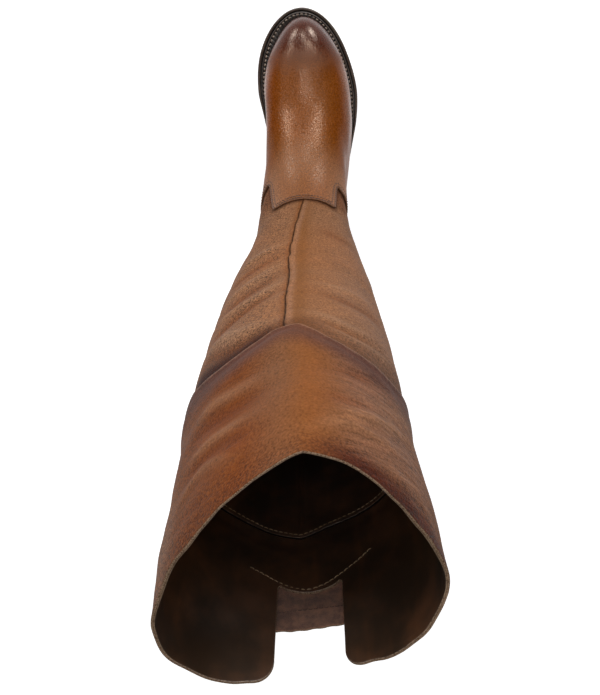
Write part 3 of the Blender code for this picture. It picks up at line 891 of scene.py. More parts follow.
        faces = list(self.faces)
        faces += [tuple(count + v for v in reversed(face)) for face in self.faces]
        for a, b in self.rim_sides:
            from_a, from_b = chain(a), chain(b)
            for k in range(self.RIM_STEPS):
                faces.append((from_b[k], from_a[k], from_a[k + 1], from_b[k + 1]))
        sides = [0] * len(self.faces) + [1] * len(self.faces)
        sides += [0] * (len(faces) - len(sides))
        cut = (1 - ease(0.08, 0.34, self.band_depth)) * shape.raw
        cut = np.where(np.isfinite(self.band_depth), cut, 0.0)[owner]
        piece = new_piece(name, points, faces)
        piece.data.polygons.foreach_set("material_index", sides)
        store(piece, "tint", shape.tint[owner])
        store(piece, "flow", self.surface.flow(self.spots)[owner] / 1000.0)
        for label, values in (("grain", shape.grain), ("gloss", shape.gloss), ("drawn", shape.drawn)):
            store(piece, label, np.broadcast_to(values, (count,))[owner])
        store(piece, "cut", cut)
        store(piece, "layer", layer)
        return piece

    def _drop(self, radius: float) -> Array:
        """How far a rounded edge falls below the face beside it."""
        if radius <= 0:
            return np.zeros(len(self.spots))
        left = np.clip(radius - np.where(np.isfinite(self.band_depth), self.band_depth, radius), 0, radius)
        return radius - np.sqrt(np.maximum(radius**2 - left**2, 0.0))


def new_piece(name: str, points: Array, faces: Sequence[Sequence[int]]) -> Object:
    """A smooth mesh object from points in millimetres."""
    mesh = bpy.data.meshes.new(name)
    mesh.from_pydata(place(points).tolist(), [], faces)
    mesh.validate()
    mesh.shade_smooth()
    piece = bpy.data.objects.new(name, mesh)
    bpy.context.scene.collection.objects.link(piece)
    return piece


def store(piece: Object, label: str, values: Array) -> None:
    """Stores a number, a colour or a direction on each point of a piece."""
    if values.ndim == 1:
        held = piece.data.attributes.new(label, "FLOAT", "POINT")
        held.data.foreach_set("value", values.astype(np.float32))
        return
    if label in ("up", "flow"):
        held = piece.data.attributes.new(label, "FLOAT_VECTOR", "POINT")
        held.data.foreach_set("vector", values.astype(np.float32).ravel())
        return
    held = piece.data.attributes.new(label, "FLOAT_COLOR", "POINT")
    full = np.concatenate([values, np.ones((len(values), 1))], axis=1)
    held.data.foreach_set("color", full.astype(np.float32).ravel())


def attach(piece: Object, slot: str, finishes: Sequence[Material], *nodes: str) -> None:
    """Gives a piece its finishes and its body, and hides the nodes that it stands for."""
    for finish in finishes:
        piece.data.materials.append(finish)
    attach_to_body(piece, "root")
    if nodes:
        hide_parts(*nodes)
    LOG.info("%s: %d points, %d faces", piece.name, len(piece.data.vertices), len(piece.data.polygons))


# ------------------------------------------------------------------ shader expressions
def tone(red: int, green: int, blue: int) -> Colour:
    """Linear colour of an everyday 0 to 255 one."""
    linear = []
    for part in (red, green, blue):
        value = part / 255
        linear.append(value / 12.92 if value <= 0.04045 else ((value + 0.055) / 1.055) ** 2.4)
    return tuple(linear)


class Wire:
    """A number's socket that Python's operators extend with Math nodes."""

    def __init__(self, kit: "ShaderKit", socket: Socket) -> None:
        self.kit, self.socket = kit, socket

    def _joined(self, operation: str, first: "Wire | float", second: "Wire | float") -> "Wire":
        """Adds one Math node."""
        return self.kit.wire("ShaderNodeMath", {"operation": operation}, {0: first, 1: second})

    def __add__(self, other: "Wire | float") -> "Wire":
        """Sum."""
        return self._joined("ADD", self, other)

    __radd__ = __add__

    def __sub__(self, other: "Wire | float") -> "Wire":
        """Difference."""
        return self._joined("SUBTRACT", self, other)

    def __rsub__(self, other: float) -> "Wire":
        """Difference from a number."""
        return self._joined("SUBTRACT", other, self)

    def __mul__(self, other: "Wire | float") -> "Wire":
        """Product."""
        return self._joined("MULTIPLY", self, other)

    __rmul__ = __mul__

    def __truediv__(self, other: "Wire | float") -> "Wire":
        """Quotient."""
        return self._joined("DIVIDE", self, other)

    def __pow__(self, other: "Wire | float") -> "Wire":
        """Power."""
        return self._joined("POWER", self, other)

    def eased(self, low: float, high: float) -> "Wire":
        """Rises smoothly from 0 at low to 1 at high."""
        values = {"Value": self, "From Min": low, "From Max": high}
        return self.kit.wire("ShaderNodeMapRange", {"interpolation_type": "SMOOTHSTEP"}, values)

    def sine(self) -> "Wire":
        """Sine of it."""
        return self.kit.wire("ShaderNodeMath", {"operation": "SINE"}, {0: self})


class ShaderKit:
    """Builds one material's nodes."""

    def __init__(self, name: str) -> None:
        """Makes an empty material.

        Args:
            name: The material's name.
        """
        self.material = bpy.data.materials.new(name)
        self.material.use_nodes = True
        self.tree = self.material.node_tree
        self.tree.nodes.clear()

    def node(
        self, kind: str, settings: dict[str, object] | None = None, values: dict | None = None
    ) -> Node:
        """Adds any node.

        Args:
            kind: The node's type.
            settings: Its properties, set first; "stops" are a ramp's places and colours.
            values: What its sockets hold, by name or index: numbers, colours, wires or sockets.

        Returns:
            The node.
        """
        node = self.tree.nodes.new(kind)
        for key, value in (settings or {}).items():
            if key == "stops":
                ramp = node.color_ramp.elements
                while len(ramp) < len(value):
                    ramp.new(0.5)
                for stop, (at, colour) in zip(ramp, value):
                    stop.position, stop.color = at, (*colour, 1.0)
            else:
                setattr(node, key, value)
        for key, value in (values or {}).items():
            socket = node.inputs[key]
            if isinstance(value, Wire):
                value = value.socket
            if isinstance(value, Socket):
                self.tree.links.new(value, socket)
            elif isinstance(value, tuple) and socket.type == "RGBA":
                socket.default_value = (*value, 1.0)
            else:
                socket.default_value = value
        return node

    def wire(
        self, kind: str, settings: dict[str, object] | None = None, values: dict | None = None,
        output: str | int = 0,
    ) -> Wire:
        """Adds a node and wraps one of its outputs."""
        return Wire(self, self.node(kind, settings, values).outputs[output])

    def place(self) -> Socket:
        """Object coordinates, in metres."""
        return self.node("ShaderNodeTexCoord").outputs["Object"]

    def stored(self, label: str) -> Socket:
        """A colour stored on the mesh."""
        return self.node("ShaderNodeAttribute", {"attribute_name": label}).outputs["Color"]

    def stored_way(self, label: str) -> Socket:
        """A vector stored on the mesh."""
        return self.node("ShaderNodeAttribute", {"attribute_name": label}).outputs["Vector"]

    def stored_number(self, label: str) -> Wire:
        """A number stored on the mesh."""
        return self.wire("ShaderNodeAttribute", {"attribute_name": label}, output="Fac")

    def noise(self, at: Socket, scale: float, detail: float = 3.0, rough: float = 0.5) -> Wire:
        """Soft noise of 0 to 1 at features of 1 / scale metres."""
        values = {"Vector": at, "Scale": scale, "Detail": detail, "Roughness": rough}
        return self.wire("ShaderNodeTexNoise", values=values)

    def moved(self, at: Socket, by: Socket, share: float) -> Socket:
        """Adds a vector times a number to coordinates."""
        settings = {"operation": "MULTIPLY_ADD"}
        values = {0: by, 1: (share, share, share), 2: at}
        return self.node("ShaderNodeVectorMath", settings, values).outputs[0]

    def stretched(self, at: Socket, scale: Colour, turn: Colour = (0, 0, 0)) -> Socket:
        """Scales and turns coordinates."""
        values = {"Vector": at, "Scale": scale, "Rotation": turn}
        return self.node("ShaderNodeMapping", values=values).outputs[0]

    def blend(
        self, first: Colour | Socket, second: Colour | Socket,
        share: Wire | float, way: str = "MIX",
    ) -> Socket:
        """Mixes two colours."""
        settings = {"data_type": "RGBA", "blend_type": way}
        return self.node("ShaderNodeMix", settings, {0: share, 6: first, 7: second}).outputs[2]

    def dimmed(self, colour: Colour | Socket, share: Wire) -> Socket:
        """Multiplies a colour by a number."""
        grey = self.node("ShaderNodeCombineXYZ", values={0: share, 1: share, 2: share}).outputs[0]
        return self.blend(colour, grey, 1.0, "MULTIPLY")

    def bump(self, height: Wire, depth: float, below: Socket | None = None) -> Socket:
        """Turns heights of 0 to 1 into a normal.

        Args:
            height: The height.
            depth: What 1 stands for, in metres.
            below: A normal to build on.

        Returns:
            The normal's socket.
        """
        values = {"Height": height, "Distance": depth, "Strength": 1.0}
        if below is not None:
            values["Normal"] = below
        return self.node("ShaderNodeBump", values=values).outputs[0]

    def finish(self, values: dict, settings: dict[str, object] | None = None) -> Material:
        """Ends the tree in a Principled shader and returns the material."""
        shader = self.node("ShaderNodeBsdfPrincipled", settings, values)
        self.node("ShaderNodeOutputMaterial", values={"Surface": shader.outputs[0]})
        return self.material


# ------------------------------------------------------------------ finishes
CUT_EDGE = tone(158, 132, 108)
CUT_EDGE_DARK = tone(84, 62, 46)


@dataclass(frozen=True)
class DressedLeather:
    """Grain leather: polished or pebbled, its large tones stored on the mesh.

    Attributes:
        name: The finish's name.
        pebble: Size of the grain's cells, in millimetres.
        relief: Height of the cells, in millimetres.
        nap: Height of its finest pores, in millimetres.
        roughness: Of its surface where it isn't polished.
        polish: How much of that polishing takes away.
        shine: Specular level.
        cloudiness: How far the dye varies.
        mottle: How far single cells of the grain and its finer specks vary; the specks are partly painted
            glints.
        creasing: How strongly its fine drawn creases show, in bump and in painted light and shade.
    """

    name: str
    pebble: float
    relief: float
    nap: float
    roughness: float
    polish: float
    shine: float
    cloudiness: float
    mottle: float
    creasing: float

    def make(self) -> Material:
        """Builds the material."""
        kit = ShaderKit(self.name)
        at = kit.place()
        tint, grain, gloss = kit.stored("tint"), kit.stored_number("grain"), kit.stored_number("gloss")
        cut, layer, drawn = (kit.stored_number(label) for label in ("cut", "layer", "drawn"))
        flow = kit.stretched(kit.stored_way("flow"), (45.0, 290.0, 1000.0))
        creases = (kit.noise(flow, 1.0, 3.0, 0.6) - 0.5) * drawn * self.creasing
        bent = kit.node("ShaderNodeTexNoise", values={"Vector": at, "Scale": 260.0, "Detail": 2.0})
        warped = kit.moved(at, bent.outputs["Color"], self.pebble * 0.0009)
        scale = 1000.0 / self.pebble
        cells = kit.node("ShaderNodeTexVoronoi", values={"Vector": warped, "Scale": scale})
        dome, cell = Wire(kit, cells.outputs["Distance"]), Wire(kit, cells.outputs["Color"])
        walls = kit.wire(
            "ShaderNodeTexVoronoi", {"feature": "DISTANCE_TO_EDGE"}, {"Vector": warped, "Scale": scale},
        ).eased(0.0, 0.16)
        pores = kit.noise(at, 3200.0, 2.0)
        fibre = kit.noise(at, 900.0, 4.0, 0.6)
        cloud = kit.noise(at, 34.0, 5.0, 0.62)
        patch = kit.noise(at, 11.0, 2.0)
        # crease marks the grain's valleys; below, it darkens them in colour as painted shade in the pits, and
        # roughens them
        crease = (1 - walls) * grain
        # The drawn creases lighten and darken the colour along their ridges and troughs: painted light and
        # shade, besides their bump.
        shade = 1 + (cloud - 0.5) * self.cloudiness + (fibre - 0.5) * 0.3 + creases * 1.6
        # The specks are random tone of the grain and also stand in for glints on the pebbles: partly painted
        # highlight.
        speck = (kit.noise(at, 780.0, 1.0) - 0.5) * grain
        shade = (shade + ((cell - 0.5) * grain * 0.3 + speck * 3.0) * self.mottle) * (1 - crease * 0.4)
        colour = kit.dimmed(tint, shade)
        warm = kit.blend(colour, (1.05, 0.99, 0.9), 1.0, "MULTIPLY")
        cool = kit.blend(colour, (0.97, 1.0, 1.03), 1.0, "MULTIPLY")
        colour = kit.blend(cool, warm, patch.eased(0.36, 0.64))
        edge = kit.blend(CUT_EDGE, CUT_EDGE_DARK, kit.noise(at, 1500.0, 3.0).eased(0.42, 0.68))
        middle = layer.eased(0.45, 0.62) * (1 - layer.eased(0.68, 0.85))
        edge = kit.blend(edge, CUT_EDGE_DARK, middle * 0.8)
        colour = kit.blend(colour, edge, cut)
        rough = self.roughness + (cloud - 0.5) * 0.16 + (fibre - 0.5) * 0.12 + crease * 0.12
        rough = rough - gloss * self.polish + speck * 0.6 + cut * 0.4
        height = (walls * 0.3 + (1 - dome) * 0.35) * grain + speck * 2.0
        normal = kit.bump(creases, 0.0012)
        normal = kit.bump(height, self.relief / 1000.0, normal)
        normal = kit.bump(pores * 0.6 + fibre, self.nap / 1000.0, normal)
        return kit.finish(
            {
                "Base Color": colour, "Roughness": rough, "Normal": normal, "Specular IOR Level": self.shine,
                "Specular Tint": (1.0, 0.8, 0.64),
            }
        )


@dataclass(frozen=True)
class SmoothLining:
    """Thin glazed lining leather, rubbed in places."""

    name: str
    colour: Colour
    worn: Colour
    roughness: float

    def make(self) -> Material:
        """Builds the material."""
        kit = ShaderKit(self.name)
        at = kit.place()
        cloud, fibre = kit.noise(at, 26.0, 4.0, 0.6), kit.noise(at, 1300.0, 3.0)
        streak = kit.noise(kit.stretched(at, (90.0, 90.0, 14.0)), 1.0, 3.0)
        share = cloud.eased(0.35, 0.75) * 0.7 + streak.eased(0.5, 0.8) * 0.3
        colour = kit.blend(self.colour, self.worn, share)
        raw = kit.blend(CUT_EDGE, CUT_EDGE_DARK, fibre.eased(0.4, 0.65))
        colour = kit.blend(colour, raw, kit.stored_number("cut"))
        rough = self.roughness + (cloud - 0.5) * 0.2 + (fibre - 0.5) * 0.1
        normal = kit.bump(fibre + streak * 0.5, 0.00006)
        return kit.finish({"Base Color": colour, "Roughness": rough, "Normal": normal})


@dataclass(frozen=True)
class FleshSide:
    """The rough side of a hide: short nap, mottled."""

    name: str
    dark: Colour
    light: Colour

    def make(self) -> Material:
        """Builds the material."""
        kit = ShaderKit(self.name)
        at = kit.place()
        blot = kit.noise(at, 130.0, 5.0, 0.68)
        nap = kit.noise(at, 1400.0, 4.0, 0.7)
        broad = kit.noise(at, 30.0, 3.0)
        colour = kit.blend(self.dark, self.light, blot.eased(0.34, 0.66) * 0.75 + nap.eased(0.35, 0.7) * 0.25)
        colour = kit.dimmed(colour, 0.72 + broad * 0.56)
        normal = kit.bump(nap + blot * 0.5, 0.00035)
        values = {"Base Color": colour, "Roughness": 0.86 + nap * 0.1, "Normal": normal}
        return kit.finish({**values, "Sheen Weight": 0.25, "Sheen Roughness": 0.6})


@dataclass(frozen=True)
class EdgedSole:
    """Sole or welt leather: dyed and waxed, with fine scuffs, darkened by its stored gloom: painted shade in
    channels and gaps, and a darker wall on the outsole.
    """

    name: str
    colour: Colour
    worn: Colour
    roughness: float
    lines: float = 0.0
    wheeled: bool = False

    def make(self) -> Material:
        """Builds the material."""
        kit = ShaderKit(self.name)
        at = kit.place()
        fibre, cloud = kit.noise(at, 1100.0, 4.0, 0.65), kit.noise(at, 60.0, 4.0, 0.6)
        colour = kit.blend(self.colour, self.worn, cloud.eased(0.4, 0.75) * 0.6 + fibre.eased(0.5, 0.8) * 0.4)
        height = fibre
        rough = self.roughness + (cloud - 0.5) * 0.25
        if self.lines:
            layers = kit.noise(kit.stretched(at, (60.0, 60.0, self.lines)), 1.0, 4.0, 0.7)
            colour = kit.dimmed(colour, 0.55 + layers * 0.9)
            height = height * 0.5 + layers
        # gloom darkens the colour: painted shade in the stitch channels, beside the upper and under the
        # welt's edge; on the outsole's upper wall it is just a darker band
        colour = kit.dimmed(colour, 1 - kit.stored_number("gloom") * 0.9)
        if self.wheeled:
            step = (kit.stored_number("walk") * (2 * math.pi) - math.pi / 2).sine()
            notch = step.eased(0.0, 0.75) * kit.stored_number("notched")
            # The notches are cut into the bump and also darkened in colour: painted shade in them.
            colour, height = kit.dimmed(colour, 1 - notch * 0.8), height - notch * 2.5
        normal = kit.bump(height, 0.00012)
        return kit.finish({"Base Color": colour, "Roughness": rough, "Normal": normal})


@dataclass(frozen=True)
class HeelRubber:
    """Matt black rubber with a fine moulded grain."""

    name: str

    def make(self) -> Material:
        """Builds the material."""
        kit = ShaderKit(self.name)
        at = kit.place()
        grit, dust = kit.noise(at, 1700.0, 3.0), kit.noise(at, 45.0, 4.0, 0.6)
        grime = dust.eased(0.5, 0.8) * 0.5 + grit.eased(0.6, 0.8) * 0.3
        colour = kit.blend(tone(24, 22, 22), tone(52, 48, 46), grime)
        normal = kit.bump(grit, 0.00012)
        return kit.finish({"Base Color": colour, "Roughness": 0.62 + dust * 0.2, "Normal": normal})


@dataclass(frozen=True)
class WaxedThread:
    """Plied thread: turns of fine yarn, a little uneven in colour."""

    name: str
    colour: Colour

    def make(self) -> Material:
        """Builds the material."""
        kit = ShaderKit(self.name)
        at = kit.place()
        ply = kit.noise(kit.stretched(at, (4200.0, 4200.0, 4200.0), (0.5, 0.3, 0.8)), 1.0, 2.0)
        age = kit.noise(at, 190.0, 2.0)
        colour = kit.dimmed(self.colour, 0.55 + ply * 0.5 + age * 0.5)
        normal = kit.bump(ply, 0.00012)
        return kit.finish({"Base Color": colour, "Roughness": 0.55 + ply * 0.2, "Normal": normal})


@dataclass(frozen=True)
class StudioFloor:
    """Plain pale floor that keeps shadows faint."""

    glow: float

    def make(self) -> Material:
        """Builds the material."""
        kit = ShaderKit("studio_floor")
        kit.finish(
            {
                "Base Color": (0.6, 0.6, 0.6), "Roughness": 0.9, "Emission Color": (1.0, 1.0, 1.0),
                "Emission Strength": self.glow,
            }
        )
        return kit.material


# ------------------------------------------------------------------ pieces of the leg
def columns(count: int, crowded: Sequence[tuple[float, float, float]] = ()) -> Array:
    """Turns round the leg, closer together at some places.

    Args:
        count: How many.
        crowded: For each place its turn, its half width in turns and how much denser it is.

    Returns:
        The turns, rising from 0.
    """
    turns = np.linspace(0, 1, 6001)
    weight = np.ones_like(turns)
    for centre, width, more in crowded:
        weight += more * bell(unwound(turns - centre), width)
    run = np.concatenate([[0], np.cumsum((weight[1:] + weight[:-1]) / 2)])
    return np.interp(np.linspace(0, run[-1], count + 1)[:-1], run, turns)


def rows(surface: LegSurface, low: float, high: float, pitch: float) -> Array:
    """Levels from low to high, evenly spaced along the front line."""
    start, end = surface.run(low), surface.run(high)
    places = np.linspace(start, end, int((end - start) / pitch) + 1)
    return np.interp(places, surface.lengths, surface.levels)


def tinted(*layers: tuple[Array | float, Colour]) -> Array:
    """Lays tones over each other.

    Args:
        *layers: Shares and colours, the first one covering all.

    Returns:
        A linear colour for each spot.
    """
    total = None
    for share, colour in layers:
        share = np.asarray(share, float)[..., None]
        total = share * np.array(colour) if total is None else total + share * (np.array(colour) - total)
    return total


@dataclass
class FootLeather:
    """Vamp and quarters: the glossy foot, its tab over the instep and the notch at each side."""

    surface: LegSurface
    pitch: float = 2.1
    column_count: int = 300
    edge_thickness: float = 1.5
    full_thickness: float = 2.2
    toe_tone: Colour = tone(70, 25, 15)
    body_tone: Colour = tone(131, 69, 9)
    flank_tone: Colour = tone(118, 55, 3)
    # Pale greyish tone at the ankle's sides: painted sheen.
    ankle_sheen_tone: Colour = tone(150, 106, 76)
    tab_tone: Colour = tone(134, 78, 36)

    def __post_init__(self) -> None:
        """Draws the top edge."""
        knots = np.array(TAB_EDGE)
        order = np.argsort(-knots[:, 0])
        knots = knots[order]
        spots = self.surface.spots_across(knots[:, 0], knots[:, 1])
        turns = np.linspace(spots[0, 0], spots[-1, 0], 900)
        line = np.stack([turns, smooth(spots[:, 0], spots[:, 1], turns)], axis=1)
        line = np.vstack([[(0.0, 93.0)], line])
        self.top = CutLine.from_knots(self.surface, line)

    def build(self) -> Object:
        """Cuts and shapes the foot."""
        crowded = ((0.36, 0.03, 0.8), (0.64, 0.03, 0.8), (0.0, 0.012, 1.5))
        sheet = LeatherSheet(
            self.surface, columns(self.column_count, crowded),
            rows(self.surface, FOOT_LEVEL, TAB_LEVEL + 3.0, self.pitch), [self.top], self.pitch * 0.8,
        )
        shape = self._shape(sheet)
        piece = sheet.solid("foot_leather", shape, (0.6, 0.3))
        self._seat(piece)
        return piece

    def _shape(self, sheet: LeatherSheet) -> SheetShape:
        """Relief and tones of the foot."""
        spots, depth = sheet.spots, sheet.depths[0]
        level, across = spots[:, 1], self.surface.across(spots)
        run = self.surface.run(level)
        places = self.surface.points(spots)
        behind = np.abs(unwound(spots[:, 0])) * self.surface.girth(level)
        stand = 0.35 * ripple(places, 11, 55.0)
        stand -= 0.5 * bell(behind, 0.9) + 0.25 * bell(depth - 2.9, 0.9) * (depth > 0)
        stand -= 0.7 * (1 - ease(0.0, 3.5, run)) ** 2
        along, reach = places[:, 0], np.abs(across)
        over_welt = places[:, 2] - sole_height(along) - 9.0
        crown = ease(6.0, 22.0, over_welt)
        stand += 0.8 * crown * (bell(along - 238.0, 14.0) - bell(along - 200.0, 15.0))
        thickness = self.edge_thickness + (self.full_thickness - self.edge_thickness) * (
            1 - ease(66.0, 80.0, level)
        )
        toe = ease(218.0, 256.0, along)
        flank = ease(14.0, 40.0, np.abs(places[:, 1] - 2.0))
        # Darker down to the welt: partly burnish, partly painted shade where the welt keeps light off the
        # leather.
        feather = 1 - ease(1.0, 11.0, over_welt)
        tab = ease(96.0, 124.0, level) * (1 - ease(24.0, 40.0, reach))
        # A paler greyish tone at the ankle's sides: painted sheen.
        ankle_sheen = ease(78.0, 98.0, level) * ease(12.0, 34.0, reach) * (1 - ease(60.0, 90.0, reach))
        edge = 1 - ease(0.2, 2.2, np.abs(depth - 0.4))
        heel = 1 - ease(20.0, 60.0, along)
        tint = tinted(
            (1.0, self.body_tone), (flank * 0.8, self.flank_tone), (tab * 0.7, self.tab_tone),
            (ankle_sheen * 0.6, self.ankle_sheen_tone), (heel * 0.5, self.toe_tone), (toe * 0.97, self.toe_tone),
            (feather * 0.5, self.toe_tone), (edge * 0.5, tone(60, 30, 20)),
            (bell(behind, 1.0) * 0.7, tone(50, 26, 18)),
        )
        gloss = 0.1 + 0.9 * ease(244.0, 250.0, along)
        for points, width in POLISH:
            gloss = np.maximum(gloss, 0.1 + 0.5 * bell(self._off_stroke(places, points), width))
        gloss -= 2.0 * bell(along - 237.0, 6.0) + 1.1 * (1 - ease(158.0, 180.0, along))
        return SheetShape(stand, thickness, tint, 0.75 + 0.25 * tab, gloss, raw=0.15)

    @staticmethod
    def _off_stroke(places: Array, points: Sequence[tuple[float, float]]) -> Array:
        """Distance of places from a stroke, seen from above."""
        knots = np.array(points)
        order = np.linspace(0, len(knots) - 1, 24)
        x, y = (smooth(np.arange(len(knots)), knots[:, k], order) for k in (0, 1))
        return np.hypot(places[:, :1] - x, places[:, 1:2] - y).min(axis=1)

    def _seat(self, piece: Object) -> None:
        """Draws the foot's lower edge down to the welt."""
        mesh = piece.data
        points = np.empty(len(mesh.vertices) * 3, np.float32)
        mesh.vertices.foreach_get("co", points)
        points = points.reshape(-1, 3)
        x, z = points[:, 0] * 1000 + HEEL_CENTRE, points[:, 2] * 1000
        top = sole_height(x) + OUTSOLE_THICKNESS + WELT_THICKNESS
        rise = z - top
        points[:, 2] = (top + np.maximum(rise * ease(-1.5, 6.0, rise), 0.05)) / 1000
        mesh.vertices.foreach_set("co", points.ravel())

    def stitch_paths(self) -> dict[str, Array]:
        """Two rows along the top edge."""
        return {"near": self.top.inset(1.7), "far": self.top.inset(4.2)}


@dataclass
class LowerShaft:
    """Ankle to knee: pebbled leather with one wandering seam down the front."""

    surface: LegSurface
    foot: FootLeather
    knee_edge: CutLine
    low: float = 88.0
    pitch: float = 2.15
    column_count: int = 236
    thickness: float = 2.0
    tuck: float = 1.75
    lap: float = 7.0
    body_tone: Colour = tone(132, 91, 63)
    fold_tone: Colour = tone(117, 74, 39)
    shadow_tone: Colour = tone(46, 10, 3)

    def __post_init__(self) -> None:
        """Draws its top edge, a lap above the knee panel's lower edge."""
        knots = np.array(KNEE_EDGE)
        turns = np.linspace(0, 1, 600)
        levels = smooth(knots[:, 0], knots[:, 1], turns) + self.lap
        self.top = CutLine.from_knots(self.surface, np.stack([turns, levels], axis=1)[:-1])

    def seam_across(self, level: Array) -> Array:
        """Where the front seam runs, with the small waver of a turned seam."""
        waver = 0.3 * np.sin(level / 5.3 + 1.6 * np.sin(level / 13.0))
        waver += 0.12 * np.sin(level / 2.1 + 0.7) * ease(150.0, 200.0, level)
        return read(FRONT_SEAM, 1, level) + waver * ease(130.0, 160.0, level)

    def build(self) -> Object:
        """Cuts and shapes the shaft."""
        crowded = ((0.484, 0.016, 3.2), (0.0, 0.008, 2.0))
        sheet = LeatherSheet(
            self.surface, columns(self.column_count, crowded),
            rows(self.surface, self.low, 424.0, self.pitch), [self.top], self.pitch * 0.8,
        )
        shape = self._shape(sheet)
        return sheet.solid("shaft_leather", shape, (0.4, 0.4))

    def _shape(self, sheet: LeatherSheet) -> SheetShape:
        """Relief and tones of the shaft."""
        spots = sheet.spots
        level, across = spots[:, 1], self.surface.across(spots)
        under_foot, _ = self.foot.top.measure(spots)
        under_knee, _ = self.knee_edge.measure(spots)
        places = self.surface.points(spots)
        folds = FOLD_STRENGTH * fold_field(SHAFT_FOLDS, level, across)
        bare = ease(0.0, 10.0, -under_foot) * ease(-2.0, 7.0, -under_knee)
        stand = (folds + 0.55 * ripple(places, 5, 62.0) + 0.16 * ripple(places, 6, 21.0)) * bare
        off = across - self.seam_across(level)
        lip = 0.85 * (1 + 0.45 * ripple(places, 9, 14.0)) / (1 + np.exp(np.clip(off / 0.22, -40, 40)))
        lip *= np.exp(np.minimum(off, 0) / 4.0)
        groove = -0.9 * bell(off - 0.35, 0.5)
        bead = 0.5 * (1 + ripple(places, 10, 11.0)) * bell(off - 2.2, 1.0)
        seamed = ease(126.0, 134.0, level) * ease(-1.0, 1.0, -under_knee)
        stand += (lip + groove + bead) * seamed
        behind = unwound(spots[:, 0]) * self.surface.girth(level)
        stand += bare * (0.3 * bell(np.abs(behind) - 2.0, 1.3) - 0.6 * bell(behind, 0.7))
        stand -= self.tuck * (1 - ease(0.5, 15.0, -under_foot))
        thickness = np.full(len(spots), self.thickness)
        side = ease(20.0, 70.0, np.abs(across - 2.0))
        fold = bell(across - 0.5, 6.5) * ease(120.0, 135.0, level)
        dark = (1 - ease(4.0, 28.0, -under_knee)) * (0.45 + 0.55 * ease(4.0, 26.0, across))
        # Dark just below the foot's tab edge: painted shade under the tab.
        tab_edge_shade = (1 - ease(0.5, 5.0, -under_foot)) * 0.6
        line = bell(off - 0.35, 0.6) * seamed
        # Near black where the knee panel laps over the shaft: painted shade under the lap.
        hidden = ease(-1.2, 0.2, under_knee)
        # Darker low in the notches beside the tab: painted shade in the recess.
        notch_shade = (1 - ease(112.0, 126.0, level)) * (1 - ease(40.0, 60.0, np.abs(across)))
        tint = tinted(
            # The paler greyish tone on the sides is a painted reflection of the floor.
            (1.0, self.body_tone), (side * 0.4, tone(117, 86, 70)), (fold * 0.7, self.fold_tone),
            # Paler on the seam's raised lateral lip: painted highlight.
            (bell(off + 2.6, 1.9) * seamed * 0.5, tone(150, 110, 86)),
            (bell(off - 2.4, 1.6) * seamed * 0.4, tone(128, 72, 34)),
            # Darker in the folds' troughs and paler on their ridges: painted shade and painted light.
            (np.clip(-folds, 0, 1) * 0.6, tone(108, 60, 32)),
            (np.clip(folds, 0, 1) * 0.5, tone(146, 110, 84)), (dark, self.shadow_tone),
            (notch_shade * 0.5, tone(92, 50, 34)), (tab_edge_shade, tone(60, 32, 22)), (line, tone(24, 10, 6)),
            (bare * bell(behind, 0.8) * 0.7, tone(50, 28, 20)), (hidden, tone(26, 16, 11)),
        )
        inner_side = ease(8.0, 24.0, across)
        grain = 0.4 + 0.35 * inner_side * (1 - 0.6 * side) + 0.1 * side
        drawn = 0.5 * ease(10.0, 26.0, -across) * ease(3.0, 9.0, np.abs(behind)) * (1 - hidden)
        return SheetShape(stand, thickness, tint, grain * (1 - 0.3 * fold), 0.35 + 0.2 * fold, drawn, raw=0.0)


